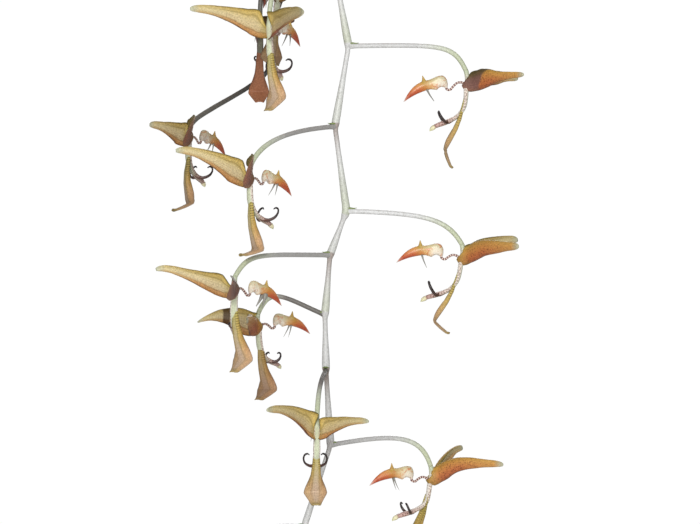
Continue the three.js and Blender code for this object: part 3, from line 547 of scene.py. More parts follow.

# The flowers, much as in the CAD model. base is where a flower's stalk ends, leave and arrive (or via) lead
# the stalk, turn, tilt and size place the flower, droop turns its lip. Pairs are for a flower's two wings, on
# its -Y and its +Y side: reach is a wing's length, spread how far it stands out, rise how far it lifts, bow
# how curved it is, peak where it is highest, stout how broad, slim how broad its outer part is and slimFrom
# where that is, notch how far its upper margin drops at the column, closed how much less its upper half curls
# in, flush how plum it is, which on a wing seen end-on is also painted shade, up to flushAndShadeEnd,
# and wingShade how much painted shade darkens it. age is how much painted shade darkens a flower that
# hangs in shade, shade how much painted shade darkens its stalk at the stem and shadeEnd at the flower, lower
# how far its lip hangs lower. swing turns the column's lower part about the upright, lift raises its end,
# dorsalTurn turns the dorsal sepal, hang moves that sepal outwards, long stretches it, endTurn bends its end
# down and dorsalShade is how much painted shade darkens it. petals is how large the petals are, brown and
# rusty how brown the column and the dorsal sepal are, awns how thick the lip's awns are, band a painted
# shadow cast as a dark band across a wing, and lean how much leaner the wings' lower halves are near the
# column.
plainFlower = {
    "tilt": 0, "reach": (30.5, 30.5), "spread": (45, 45), "bow": (1.8, 1.8), "peak": (0.88, 0.88),
    "stout": (1, 1), "slim": (1, 1), "slimFrom": (0.3, 0.75), "notch": (0, 0), "closed": (0, 0),
    "flush": (0, 0), "age": 0, "shadeEnd": 0, "lower": 0, "swing": 0, "lift": 0, "dorsalTurn": 0, "hang": 0,
    "long": 1, "endTurn": 0, "petals": 1, "brown": 0, "rusty": 0, "awns": 1, "lean": 0, "size": 1, "turn": 0,
}
flowers = [
    {"base": (-24, -10, 5.8), "leave": (14, 3), "arrive": (3, 14), "turn": 79, "rise": (10.8, 10.8),
     "droop": 5, "size": 0.92, "age": 0.35, "shade": 0.5, "flush": (0.3, 0.3)},
    {"base": (-31.3, 9, -6.4), "leave": (24, 4), "arrive": (-1, 14), "turn": 112, "rise": (3.6, 3.0),
     "droop": 8, "size": 0.87, "reach": (24, 19), "age": 0.75, "dorsalShade": 0.0, "shade": 1.0,
     "shadeEnd": 0.9, "flush": (0.8, 0.8), "long": 1.15, "rusty": 1, "petals": 0.35, "brown": 1},
    {"base": (-26.5, -30, -9.2), "leave": (16, 3), "arrive": (-2, 13), "turn": 11, "rise": (6.7, 3.8),
     "droop": 2, "tilt": 5, "reach": (30, 28), "spread": (54, 54), "shade": 0.15, "notch": (1, 1),
     "slim": (1, 1.5), "flush": (0.0, 0.2), "swing": 8, "dorsalTurn": -20, "hang": 4.8, "endTurn": 14,
     "brown": 0.8},
    {"base": (-58.6, -12, -50.9), "turn": 43, "rise": (3.6, 3.8), "droop": 2, "size": 0.95, "tilt": 10,
     "reach": (15.5, 28), "age": 0.3, "shade": 1.0, "shadeEnd": 0.9, "flush": (0.0, 0.6), "notch": (1, 0),
     "spread": (45, 41), "closed": (0, 0.4), "swing": 6, "dorsalTurn": -38, "hang": 7, "brown": 1,
     "long": 1.07, "endTurn": -6,
     "via": [(-13, 13, 12), (-22, 21, 4), (-26, 25, -8), (-26.5, 27.5, -19), (-29.5, 28.5, -27.5),
             (-36, 26, -33), (-41.6, 19, -37), (-50, 3, -43), (-56.4, -8, -48)]},
    {"base": (51.2, 0, -28.4), "leave": (38, 0.5), "arrive": (5, 11), "rise": (1.2, 2.2), "droop": 6,
     "tilt": 5, "reach": (29.5, 29.5), "shade": 0.12, "flush": (0.95, 0.0), "flushAndShadeEnd": 0.13,
     "slim": (0.72, 1), "slimFrom": (0.3, 0.62), "bow": (1.6, 1.6), "peak": (0.6, 0.7), "lower": 1,
     "lean": 0.3, "petals": 0.85, "endTurn": 40},
    {"base": (-34, -34, -67.8), "leave": (24, -2), "arrive": (5, 11), "turn": 4, "rise": (9.4, 6.0),
     "droop": 3, "size": 0.98, "tilt": 7, "reach": (28.7, 26), "shade": 0.5, "flush": (0.0, 0.75),
     "notch": (1, 0), "bow": (1.7, 1.8), "spread": (45, 43), "closed": (0, 0.35), "dorsalTurn": -17,
     "hang": 4.6, "endTurn": -14, "long": 1.08, "brown": 0.3},
    {"base": (49.6, -2, -98), "leave": (31, -1), "arrive": (6, 11), "rise": (4.5, 7.4), "droop": 0,
     "shade": 0.02, "bow": (2.6, 1.8), "lean": 0.4, "endTurn": 7, "long": 0.98},
    {"base": (-40, -34, -110.6), "leave": (38, 0), "arrive": (7, 10), "turn": 3, "rise": (7.6, 2.6),
     "droop": 6, "tilt": 3, "reach": (29.6, 28), "shade": 0.45, "flush": (0.0, 0.95), "notch": (1, 0),
     "bow": (1.2, 1.8), "spread": (45, 44), "closed": (0, 0.45), "stout": (0.85, 1), "lower": 1, "swing": 44,
     "dorsalTurn": -38, "hang": 3.2, "long": 1.05, "endTurn": 6, "awns": 2.6, "petals": 0.3},
    {"base": (-32.2, 7, -125.7), "leave": (17, 7), "arrive": (5, 12), "turn": 50, "rise": (4.2, 2.6),
     "droop": 3, "size": 0.98, "tilt": 1, "reach": (24, 23), "shade": 0.85, "wingShade": (0, 0.12),
     "slim": (0.35, 1), "slimFrom": (0.6, 1.0), "bow": (2.0, 1.8), "peak": (0.55, 0.88), "stout": (1.08, 0.9),
     "swing": 20, "hang": 4, "brown": 0.6, "rusty": 0.35, "petals": 0.7, "band": (0.47, 0.57)},
    {"base": (-8.1, -31, -166.3), "leave": (16, -3), "arrive": (4, 13), "turn": 10, "rise": (10.4, 5.5),
     "droop": 6, "size": 0.94, "reach": (30.2, 27.5), "spread": (43, 43), "shade": 0.8, "notch": (1, 1),
     "bow": (2.0, 1.9), "stout": (1, 0.85), "endTurn": 8, "petals": 0.92},
    {"base": (37.4, 10, -187.4), "leave": (28, 4.5), "arrive": (4, 13), "turn": 5, "rise": (7.2, 11.3),
     "droop": 0, "shade": 0.25, "bow": (3.0, 1.8), "peak": (0.75, 0.88), "stout": (0.85, 0.8), "lean": 0.3,
     "lift": 1.4, "dorsalTurn": 22, "petals": 0.75},
    {"base": (-47, -18, -226), "leave": (24, 3), "arrive": (5, 11), "turn": 10, "rise": (6.8, 6.8),
     "droop": 6, "size": 0.98, "shade": 0.3},
]
flowers = [{**plainFlower, "joint": joint, **flower} for joint, flower in zip(joints, flowers)]

# one flower's own measures in mm: X away from the stem, Y sideways, Z up, from where its stalk ends
wing = {
    "hug": [(-0.9, 1.25, -4.1), (-0.2, 1.5, -4.7)],  # its first points clasp the column
    "start": (0.7, 1.2, -5.2),  # from here it runs out
    "upper": [(0, 2.2), (0.05, 3.9), (0.1, 4.6), (0.2, 4.75), (0.3, 4.3), (0.45, 3.3), (0.55, 2.7),
              (0.68, 2.0), (0.79, 1.65), (0.9, 1.45), (0.97, 1.1), (1, 0.5)],
    "lower": [(0, 2.2), (0.05, 3.9), (0.1, 4.6), (0.2, 4.7), (0.3, 4.2), (0.45, 3.2), (0.55, 2.6),
              (0.68, 1.95), (0.79, 1.6), (0.9, 1.4), (0.97, 1.0), (1, 0.5)],
    "notched": [(0, 1.2), (0.05, 1.3), (0.1, 2.4), (0.15, 4.0), (0.2, 5.3), (0.26, 5.0), (0.32, 4.3)],
    # degrees that its margins turn in, and how much of that the lower one does
    "roll": [(0, 30), (0.1, 70), (0.25, 98), (0.6, 108), (0.85, 100), (1, 60)], "lowerRoll": 0.88,
    # what being closed takes off the upper roll and off the depth, and how far it leans the blade
    "closedRoll": 0.45, "closedDepth": 0.3, "closedLean": 0.16,
    "ripple": 0.07, "crease": 0.3, "creaseAt": 0.3, "creaseWide": 0.2,  # a wavy rim and a long fold
    "margin": 0.22, "middle": 0.5,  # thicknesses
    "stations": (0.07, 0.2, 0.35, 0.5, 0.65, 0.8, 0.92, 1), "rows": 44, "columns": 22,
}
column = {
    "path": [(0, 0.3), (0.3, -3), (-0.5, -7), (-1, -10.5), (-2, -14.2), (-4.6, -17.4), (-8.4, -19.3),
             (-12, -20.3), (-14.4, -21)],
    "halfWidth": [(0, 0.97), (0.2, 1.3), (0.45, 1.55), (0.6, 1.35), (0.72, 1.3), (0.86, 1.6), (0.95, 1.35),
                  (1, 1.0)],
    "halfDepth": [(0, 0.97), (0.2, 1.05), (0.5, 0.9), (0.7, 0.85), (0.88, 1.05), (1, 0.85)],
}
cap = {"path": [(-13.9, -20.8), (-15.0, -21.4), (-16.0, -22.1), (-16.6, -22.7)],
       "size": [(0, 0.7), (0.3, 1.15), (0.65, 0.95), (1, 0.15)]}
petal = {
    "path": [(-6.8, 0.5, -19.0), (-9.4, 0.9, -19.8), (-10.4, 2.7, -19.9), (-11.6, 4.7, -18.7),
             (-12.7, 5.3, -16.7), (-13.3, 4.6, -15.0), (-13.3, 3.3, -14.6), (-12.9, 2.6, -15.2)],
    "width": [(0, 0.6), (0.15, 0.95), (0.35, 0.66), (0.75, 0.46), (0.9, 0.42), (1, 0.22)],
    "depth": [(0, 0.4), (0.15, 0.6), (0.5, 0.42), (0.9, 0.34), (1, 0.18)],
}
dorsal = {
    "path": [(-1.4, -11), (-2.2, -14), (-3.7, -18.8), (-5.8, -23.2), (-8.2, -26.9), (-10.9, -30.8),
             (-8.2, -32.9), (-5.6, -34.7), (-4.4, -34.9)],
    "corner": (-10.9, -30.8),
    "halfArc": [(0, 1.1), (0.1, 1.6), (0.3, 2.5), (0.5, 3.5), (0.66, 4.4), (0.75, 5.0), (0.87, 3.3),
                (0.955, 2.3), (0.98, 2.1), (1, 1.4)],
    "fold": [(0, 60), (0.3, 78), (0.48, 82), (0.6, 62), (0.69, 34), (0.745, 14), (0.85, 24), (1, 34)],
    "panel": (0.3, 0.7),  # the flat middle ends between these shares of its half width
    "past": 0.76,  # its end turns out past this share of its length
    "hangs": 19.8,  # how far down a flower's hang has grown to its full
    "margin": 0.24, "middle": 0.45, "rows": 44, "columns": 16,
}
lip = {
    "claw": [(-0.9, -5.2), (-2.4, -4.2), (-3.9, -4.0), (-5.4, -4.7), (-6.9, -5.7), (-8.1, -5.3),
             (-8.4, -4.0)],
    "clawSize": [(0, 0.62), (0.3, 0.5), (0.8, 0.52), (1, 0.6)],
    "pivot": (-5.2, -5.4),
    # x, top, bottom and half width of the body, from the hump's back to the beak's tip
    "body": [(-7.5, -1.7, -3.4, 0.35), (-7.8, -0.7, -4.5, 0.85), (-8.4, 0.15, -4.9, 1.25),
             (-9.2, 0.55, -4.3, 1.6), (-10.3, 0.65, -3.9, 1.8), (-11.5, 0.5, -4.2, 1.85),
             (-12.2, 0.3, -4.9, 1.7), (-13.2, 0.05, -4.5, 1.5), (-14.6, -0.25, -4.1, 1.4),
             (-16, -0.1, -4.1, 1.5), (-17.3, -0.2, -4.3, 1.55), (-18.5, -0.6, -4.5, 1.5),
             (-20, -1.15, -4.8, 1.35), (-21.5, -2, -5.2, 1.15), (-23, -3.2, -5.7, 0.85),
             (-24.3, -4.5, -6.2, 0.55), (-25.4, -5.8, -6.7, 0.3), (-26.2, -6.8, -7.05, 0.12)],
    "horn": {"path": [(-16.6, -0.9), (-16.7, 0.5), (-16.8, 1.9)],
             "size": [(0, 1.25), (0.45, 0.6), (1, 0.12)]},
    # how far the hump is drawn in behind the beak, where, and how long and high that is
    "pinch": 0.22, "pinchAt": 0.2, "pinchLong": 0.1, "pinchHigh": 0.4,
    "crowding": 1.15, "rings": 44, "sides": 20,  # its rings stand closer at the hump's back
    "awn": {"path": [(-16.1, 0.7, -3.9), (-15.4, 1.2, -6.2), (-14.2, 1.8, -9.0)],
            "size": [(0, 0.42), (0.4, 0.24), (1, 0.06)]},
}


def turned(degrees, axis):
    return Matrix.Rotation(radians(degrees), 4, axis)


def inPlane(points):
    return [Vector((x, 0, z)) for x, z in points]


# how far the wing's middle line has risen at share t of its reach: fast at first, then nearly level
def wingLift(t, bow, peak):
    return 1 - abs((peak - t) / peak) ** bow


# half a cross-section: heights and depths of a blade that turns by bend(v) degrees, v from 0 to 1
def rolledHalf(bend, steps):
    high, deep, result = 0.0, 0.0, [(0.0, 0.0)]
    fine = 8
    for k in range(steps * fine):
        angle = radians(bend((k + 0.5) / (steps * fine)))
        high += cos(angle) / (steps * fine)
        deep += sin(angle) / (steps * fine)
        if (k + 1) % fine == 0:
            result.append((high, deep))
    return result


# one wing sepal: a channelled blade with rolled margins, hollow on the side away from the stem
def addWing(piece, mirror, flower):
    own = 0 if mirror < 0 else 1
    names = ("reach", "rise", "bow", "peak", "stout", "slim", "notch", "closed", "flush")
    reach, rise, bow, peak, stout, slim, notch, closed, flush = [flower[name][own] for name in names]
    spread = radians(flower["spread"][own]) * mirror
    out = Vector((cos(spread), sin(spread), 0))
    seed = flower["base"][0] * 0.37 + mirror * 5
    line = [Vector((x, y * mirror, z)) for x, y, z in wing["hug"]]
    start = Vector(wing["start"])
    start.y *= mirror
    for t in wing["stations"]:
        line.append(start + out * (reach * t) + up * (rise * wingLift(t, bow, peak)))
    middles = smoothPath(line, wing["rows"])
    half = wing["columns"] // 2
    rows = []
    for i, (middle, along) in enumerate(zip(middles, directions(middles))):
        u = i / wing["rows"]
        hollow = (along.cross(up) * mirror).normalized()
        across = (up - along * up.dot(along) - hollow * wing["closedLean"] * closed).normalized()
        roll = tableAt(wing["roll"], u)
        sections = {
            1: rolledHalf(lambda v: roll * (1 - wing["closedRoll"] * closed) * v ** 1.5, half),
            -1: rolledHalf(lambda v: wing["lowerRoll"] * roll * v ** 1.5, half),
        }
        narrowed = stout * (1 - (1 - slim) * smooth(*flower["slimFrom"], u))
        leaner = 1 - flower["lean"] * smooth(0, 0.12, u) * smooth(0.65, 0.32, u)
        upper = tableAt(wing["upper"], u)
        if u < wing["notched"][-1][0]:
            upper += (tableAt(wing["notched"], u) - upper) * notch
        sizes = {1: upper * narrowed, -1: tableAt(wing["lower"], u) * narrowed * leaner}
        row = []
        for j in range(wing["columns"] + 1):
            side = 1 if j >= half else -1
            high, deep = sections[side][abs(j - half)]
            size = sizes[side] / max(h for h, d in sections[side])
            deep *= 1 - wing["closedDepth"] * closed
            v = abs(j - half) / half
            ripple = 1 + wing["ripple"] * noise.noise(Vector((u * 7 + seed, side * v * 0.8, seed))) * v
            crease = wing["crease"] * exp(-(((v * side - wing["creaseAt"]) / wing["creaseWide"]) ** 2))
            crease = crease * smooth(0.1, 0.2, u) * smooth(0.75, 0.3, u)
            place = middle + across * (side * high * size * ripple)
            row.append(place + hollow * (deep * size * ripple - crease))
        rows.append(row)

    def thickness(u, v):
        return wing["margin"] + wing["middle"] * (1 - abs(v) ** 3) * (1 - 0.4 * u)

    # the blade's second face is the hollow one
    def values(u, v, sign):
        side = 1.0 if sign * mirror > 0 else 0.0
        # the plum tint is partly painted shade on a wing seen end-on
        plum = flush
        if "flushAndShadeEnd" in flower:
            edge = flower["flushAndShadeEnd"] + 0.13 * (v + 1)
            plum *= 1 - smooth(edge - 0.02, edge + 0.03, u)
        # painted shade: darkens a wing of a flower that hangs in shade, for one wing alone where given
        age = flower["wingShade"][own] if "wingShade" in flower else flower["age"]
        # a painted shadow cast by the flower in front, as a dark band across this wing
        if "band" in flower and mirror < 0:
            inner, outer = flower["band"]
            age = max(age, 0.85 * smooth(inner - 0.02, inner, u) * (1 - smooth(outer, outer + 0.02, u)))
        return (u, (v + 1) / 2, side, plum, age)

    addBlade(piece, rows, thickness, 0, values)


# a flower's column turns about the upright as it leaves the wings, and takes what it carries with it
def swung(flower, point):
    return turned(flower["swing"] * smooth(4, 10, -point.z), "Z") @ point


def lifted(flower, point):
    return swung(flower, point) + up * (flower["lift"] * smooth(13, 19, -point.z))


# stretches, hangs and turns a point of the dorsal sepal about its root
def dorsalPlace(flower, point, past):
    root, corner = inPlane([dorsal["path"][0], dorsal["corner"]])
    if past:
        point = corner + turned(flower["endTurn"], "Y") @ (point - corner)
    below = point - root
    below.z *= flower["long"]
    below.x += flower["hang"] * min(max(-below.z / dorsal["hangs"], 0), 1)
    return root + turned(flower["dorsalTurn"], "Z") @ below


# the dorsal sepal: a flat panel with folded sides, widening to a sharp bend where its end turns back out
def addDorsal(piece, flower):
    middles = evenPath(inPlane(dorsal["path"]), dorsal["rows"])
    rows = []
    half = dorsal["columns"] // 2
    for i, (middle, along) in enumerate(zip(middles, directions(middles))):
        u = i / dorsal["rows"]
        outer = Vector((0, 1, 0)).cross(along) * -1
        fold = tableAt(dorsal["fold"], u)
        section = rolledHalf(lambda v: fold * smooth(*dorsal["panel"], v), half)
        size = tableAt(dorsal["halfArc"], u)
        row = []
        for j in range(dorsal["columns"] + 1):
            side = 1 if j >= half else -1
            high, deep = section[abs(j - half)]
            place = middle + Vector((0, side * high * size, 0)) - outer * (deep * size)
            row.append(swung(flower, dorsalPlace(flower, place, u > dorsal["past"])))
        rows.append(row)

    def thickness(u, v):
        return dorsal["margin"] + dorsal["middle"] * (1 - abs(v) ** 2)

    # painted shade of a flower that hangs in shade
    age = flower.get("dorsalShade", flower["age"])

    def values(u, v, sign):
        return (u, (v + 1) / 2, 1.0 if sign > 0 else 0.0, flower["rusty"], age)

    addBlade(piece, rows, thickness, 1, values)


def addColumn(piece, flower):
    path = [lifted(flower, p) for p in smoothPath(inPlane(column["path"]), 40)]
    broadside = swung(flower, Vector((0, 1, -20)))
    broadside.z = 0

    # the ridge runs down the outer side, so inner is 1 there
    def values(share, angle):
        brown = flower["brown"] * smooth(0.15, 0.4, share)
        # the last value is the painted shade of a flower that hangs in shade
        return (share, (cos(angle) + 1) / 2, (1 + sin(angle)) / 2, brown, flower["age"])

    addTube(piece, path, column["halfWidth"], 18, 2, broadside, values, column["halfDepth"])
    capPath = [lifted(flower, p) for p in smoothPath(inPlane(cap["path"]), 12)]
    addTube(piece, capPath, cap["size"], 14, 4, depths=[(p, s * 0.85) for p, s in cap["size"]])
    for mirror in (1, -1):
        route = [Vector((x, y * mirror, z)) for x, y, z in petal["path"]]
        points = [route[0].lerp(point, flower["petals"]) for point in route]
        points = [swung(flower, point) + up * flower["lift"] for point in points]
        broad = (0.35, 0.2 * mirror, 0.9)
        addTube(piece, smoothPath(points, 30), petal["width"], 8, 3, broad, depths=petal["depth"])


def addLip(piece, flower):
    pivot = Vector((lip["pivot"][0], 0, lip["pivot"][1]))
    droop = Matrix.Translation(pivot - up * flower["lower"]) @ turned(-flower["droop"], "Y")
    droop = droop @ Matrix.Translation(-pivot)
    # painted shade of a flower that hangs in shade, on every part of the lip
    age = flower["age"]
    clawPath = smoothPath(inPlane(lip["claw"]), 40)
    end = droop @ clawPath[-1] - clawPath[-1]
    clawPath = [p + end * smooth(0, 0.9, i / 40) for i, p in enumerate(clawPath)]
    addTube(piece, clawPath, lip["clawSize"], 8, 1, values=lambda s, a: (s, 0.5, 0.5, 0, age))
    body = lip["body"]
    rings, sides = lip["rings"], lip["sides"]
    points, kept = [], []
    front, length = body[0][0], body[0][0] - body[-1][0]
    lookup = lambda k, x: tableAt([(-row[0], row[k]) for row in body], -x)
    for i in range(rings + 1):
        x = front - length * (i / rings) ** lip["crowding"]
        top, bottom, half = lookup(1, x), lookup(2, x), lookup(3, x)
        share = (front - x) / length
        for k in range(sides):
            angle = 2 * pi * k / sides
            z = (top + bottom) / 2 + (top - bottom) / 2 * sin(angle)
            drawn = lip["pinch"] * exp(-(((share - lip["pinchAt"]) / lip["pinchLong"]) ** 2))
            pinch = 1 - drawn * exp(-((sin(angle) / lip["pinchHigh"]) ** 2))
            points.append(droop @ Vector((x, half * cos(angle) * pinch, z)))
            kept.append((share, (sin(angle) + 1) / 2, 0.5, 0, age))
    faces = [(a, d, c, b) for a, b, c, d in ringFaces(rings + 1, sides)]
    faces.append(tuple(range(sides)))
    faces.append(tuple(rings * sides + k for k in reversed(range(sides))))
    addPart(piece, points, faces, 0, kept)
    hornPath = [droop @ p for p in smoothPath(inPlane(lip["horn"]["path"]), 10)]
    addTube(piece, hornPath, lip["horn"]["size"], 10, 0, values=lambda s, a: (0.5, 0.9, 0.5, 0, age))
    for mirror in (1, -1):
        awnPath = [droop @ Vector((x, y * mirror, z)) for x, y, z in lip["awn"]["path"]]
        sizes = [(s, r * flower["awns"]) for s, r in lip["awn"]["size"]]
        addTube(piece, smoothPath(awnPath, 10), sizes, 6, 2)


def stalkStart(name):
    return Vector((joints[name][0], 0, joints[name][1]))


# a flower's stalk, and the level direction that it leaves the stem in
def stalkPath(flower):
    start, end = stalkStart(flower["joint"]), Vector(flower["base"])
    out = Vector((end.x - start.x, end.y - start.y, 0)).normalized()
    if "via" in flower:
        return smoothPath([start] + list(flower["via"]) + [end], 60), out
    leaving = start + out * flower["leave"][0] + up * flower["leave"][1]
    arriving = end - out * flower["arrive"][0] + up * flower["arrive"][1]
    fine = []
    for i in range(201):
        t, s = i / 200, 1 - i / 200
        fine.append(start * s ** 3 + leaving * (3 * t * s ** 2) + arriving * (3 * t * t * s) + end * t ** 3)
    return evenPath(fine, 44), out


blossomSkins = [wingSkin, dorsalSkin, columnSkin, petalSkin, capSkin]
lipSkins = [lipSkin, clawSkin, awnSkin]
for number, flower in enumerate(flowers, 1):
    out = stalkPath(flower)[1]
    heading = Matrix.Rotation(atan2(out.y, out.x) + radians(flower["turn"]), 4, "Z")
    flowerMatrix = Matrix.Translation(racemeZero + Vector(flower["base"])) @ heading
    flowerMatrix = flowerMatrix @ turned(-flower["tilt"], "Y") @ Matrix.Scale(flower["size"], 4)
    label = "flower_%02d" % number
    blossom = newPiece()
    addWing(blossom, -1, flower)
    addWing(blossom, 1, flower)
    addDorsal(blossom, flower)
    addColumn(blossom, flower)
    finishPiece(blossom, label + "_sepals", label + "_sepals_column", blossomSkins, flowerMatrix)
    lipPiece = newPiece()
    addLip(lipPiece, flower)
    finishPiece(lipPiece, label + "_lip_body", label + "_lip", lipSkins, flowerMatrix)

print("stage: raceme stem")

stem = {
    "thin": 1.0, "jointRadius": 1.62, "collar": 3, "swellFrom": 0.25,  # it swells towards the next joint
    "taper": 0.35, "taperFrom": 0.75, "brownReach": 9,  # its end tapers, and brown fades below a joint
    "stalk": 0.94, "stalkSizes": [(0, 1.269), (0.06, 0.9588), (0.6, 0.9212), (0.85, 1.0), (1, 0.95)],
    "peduncle": [(-5, -40, 68), (-5, -42, 84), (-4.5, -52, 96), (-4, -63, 88), (-3.5, -66, 60),
                 (-3, -66, 20)],
    "between": (0.06, 0.14, 0.3, 0.5, 0.7, 0.86, 0.95),
}
stemPiece = newPiece()
upper = [Vector((x, y - racemeZero.y, z - (racemeZero.z - potFoot))) for x, y, z in stem["peduncle"]]
addTube(stemPiece, smoothPath(upper + [stalkStart("a")], 90), [(0, 1.9), (1, 1.5)], 16, 0, (1, 0, 0),
        lambda s, a: (s, 0.1, 0.35 * (1 - s) + 0.1, 0, 0))
order = list(joints)
bends = [stalkStart(name) for name in order]
route = bends[:1]
for before, point in zip(bends, bends[1:]):
    route += [before + (point - before) * s for s in stem["between"]]
route.append(bends[-1])
lengths = distances(route)
jointPlaces = []
for point in bends:
    nearest = min(range(len(route)), key=lambda k: (route[k] - point).length)
    jointPlaces.append(lengths[nearest] / lengths[-1])

# how brown the stem is under each joint, and how green it gets down to the next
tints = {"c": (0.1, 0.3), "d": (0.1, 0.5), "e": (0.05, 0.2), "f": (0.8, 0.5), "g": (0.1, 0.1),
         "h": (0.8, 0.4), "i": (0.1, 0.0), "j": (1.0, 0.0), "k": (0.2, 0.0)}


# a stem between joints starts thin and swells down to the next one; gives its radius, brown and green
def stemAt(share):
    i = max(k for k in range(len(jointPlaces) - 1) if share >= jointPlaces[k] or k == 0)
    span = (jointPlaces[i + 1] - jointPlaces[i]) * lengths[-1]
    gone = (share - jointPlaces[i]) * lengths[-1]
    swell = smooth(stem["swellFrom"], 1, gone / span)
    swollen = max(swell, 1 - smooth(0, stem["collar"], gone))
    radius = stem["thin"] + (stem["jointRadius"] - stem["thin"]) * swollen
    brownness, greenness = tints.get(order[i], (0, 0))
    radius *= 1 - stem["taper"] * smooth(stem["taperFrom"], 1, share)
    return radius, brownness * exp(-((gone / stem["brownReach"]) ** 2)), greenness * swell


stemTable = [(k / 400, stemAt(k / 400)[0]) for k in range(401)]
addTube(stemPiece, smoothPath(route, 400), stemTable, 16, 0,
        values=lambda s, a: (s, 0.04 + 0.1 * smooth(0.3, 0.6, s), 0.1 + stemAt(s)[2], stemAt(s)[1], 0))


# a stalk's values: painted shade darkens it from shade at the stem to shadeEnd at the flower, and it turns
# greener where that painted shade is light
def stalkValues(shade, shadeEnd):
    def values(s, a):
        green = (0.08 + 0.85 * smooth(0.5, 0.9, s)) * (1 - shadeEnd)
        return (s, shade + (shadeEnd - shade) * smooth(0.45, 0.9, s) + 0.03, green, 0, 0)

    return values


bract = {"length": 3.4, "halfWidth": 1.35}
for flower in flowers:
    path, out = stalkPath(flower)
    side = Vector((-out.y, out.x, 0))
    values = stalkValues(flower["shade"], flower["shadeEnd"])
    addTube(stemPiece, path, stem["stalkSizes"], 14, 0, side, values)
    start = path[0] + up * (stem["stalk"] * 0.8) + out * 0.8
    tip = start + out * bract["length"] + up * 0.5
    scalePath = [start - out * 1.2, start + out * 0.6 + up * 0.35, start.lerp(tip, 0.6), tip]
    addTube(stemPiece, smoothPath(scalePath, 12), [(0, 0.9), (0.3, bract["halfWidth"]), (1, 0.1)], 8, 1, side,
            depths=[(0, 0.5), (0.4, 0.42), (1, 0.08)])

# two closed buds end the raceme
buds = [
    {"joint": "m", "reach": (13, -4, -5), "length": 12, "radius": 2.3},
    {"joint": "n", "reach": (-8, -3, -5), "length": 9, "radius": 1.9},
]
budLine = [(0, -0.04), (0.04, 0.3), (-0.02, 0.7), (-0.16, 1)]
for bud in buds:
    start = stalkStart(bud["joint"])
    neck = start + Vector(bud["reach"])
    out = Vector((bud["reach"][0], bud["reach"][1], 0)).normalized()
    side = Vector((-out.y, out.x, 0))
    stalk = smoothPath([start, start + out * abs(bud["reach"][0]) * 0.6, neck], 16)
    addTube(stemPiece, stalk, [(0, 0.85), (1, 0.75)], 12, 0, side, lambda s, a: (s, 0.1, 0.6, 0, 0))
    shape = [neck + out * (x * bud["length"]) - up * (z * bud["length"]) for x, z in budLine]
    sizes = [(0, 0.6), (0.3, bud["radius"]), (0.62, bud["radius"] * 0.9), (1, 0.15)]
    values = lambda s, a: (s, 0.5 + 0.4 * cos(a), 0.3, 0, 0)
    addTube(stemPiece, smoothPath(shape, 20), sizes, 14, 2, side, values)
stemSkins = [stemSkin, bractSkin, wingSkin]
finishPiece(stemPiece, "raceme_stem_and_stalks", "raceme_stem", stemSkins,
            Matrix.Translation(racemeZero))

print("stage: leaves and pseudobulbs")

soilTop = potFoot + 76  # the bark's top, 9 mm under the rim
bulbs = [
    {"node": "pseudobulb_1_old", "x": 1, "y": 5, "height": 37, "radius": 10},
    {"node": "pseudobulb_2", "x": 21, "y": 19, "height": 46, "radius": 12},
    {"node": "pseudobulb_3", "x": -24, "y": 15, "height": 49, "radius": 12.5},
    {"node": "pseudobulb_4", "x": -16, "y": -18, "height": 50, "radius": 12},
    {"node": "pseudobulb_5", "x": 14, "y": -17, "height": 47, "radius": 12},
]
bulbShape = {
    "profile": [(-6.5, 0.62), (0, 0.66), (0.05, 0.84), (0.26, 1.0), (0.5, 0.86), (0.74, 0.56), (0.92, 0.37),
                (1, 0.31)],
    "ribs": 6, "ribDepth": 0.15, "bumps": 0.025, "lift": 1.15, "rings": 46, "sides": 60,
}
for index, bulb in enumerate(bulbs):
    body = newPiece()
    points, kept = [], []
    table = [(p if p > 0 else p / bulb["height"], r) for p, r in bulbShape["profile"]]
    rings, sides = bulbShape["rings"], bulbShape["sides"]
    foot = Vector((bulb["x"], bulb["y"], soilTop + bulbShape["lift"]))
    for i in range(rings + 1):
        share = table[0][0] + (1 - table[0][0]) * i / rings
        ribbed = smooth(0.02, 0.2, share) * smooth(1.0, 0.85, share)
        for k in range(sides):
            angle = 2 * pi * k / sides
            x, y = cos(angle), sin(angle)
            wave = 0.5 - 0.5 * cos(angle * bulbShape["ribs"])
            reach = bulb["radius"] * tableAt(table, share) * (1 - bulbShape["ribDepth"] * ribbed * wave)
            reach *= 1 + bulbShape["bumps"] * noise.noise(Vector((x * 2, y * 2, share * 4 + index)))
            points.append(foot + Vector((reach * x, reach * y, share * bulb["height"])))
            kept.append((max(share, 0), wave, (1 - wave) * ribbed * 0.5, 0, 0))
    faces = ringFaces(rings + 1, sides)
    faces.append(tuple(reversed(range(sides))))
    faces.append(tuple(rings * sides + k for k in range(sides)))
    addPart(body, points, faces, 0, kept)
    finishPiece(body, bulb["node"] + "_ribbed", bulb["node"], [bulbSkin])

leaves = [
    {"node": "leaf_1", "bulb": 1, "azimuth": -10, "length": 205, "width": 42, "rise": 66, "droop": -24},
    {"node": "leaf_2", "bulb": 1, "azimuth": 76, "length": 180, "width": 39, "rise": 70, "droop": -34},
    {"node": "leaf_3", "bulb": 2, "azimuth": 110, "length": 190, "width": 42, "rise": 72, "droop": -22},
    {"node": "leaf_4", "bulb": 2, "azimuth": 190, "length": 208, "width": 41, "rise": 64, "droop": -28},
    {"node": "leaf_5", "bulb": 3, "azimuth": 248, "length": 196, "width": 41, "rise": 68, "droop": -22},
    {"node": "leaf_6", "bulb": 4, "azimuth": 292, "length": 186, "width": 40, "rise": 62, "droop": -26},
]
leafShape = {"stations": 8, "rows": 60, "columns": 28, "pleats": 7, "pleatDepth": 0.055, "waveDepth": 0.05,
             "foldRoot": 62, "fold": 14, "thickness": 0.55, "rootOut": 3.6, "rootUp": 0.45, "sag": 1.25,
             "footHalf": 1.5, "tipHalf": 0.3, "widest": 0.85, "slender": 1.4, "waves": 19}
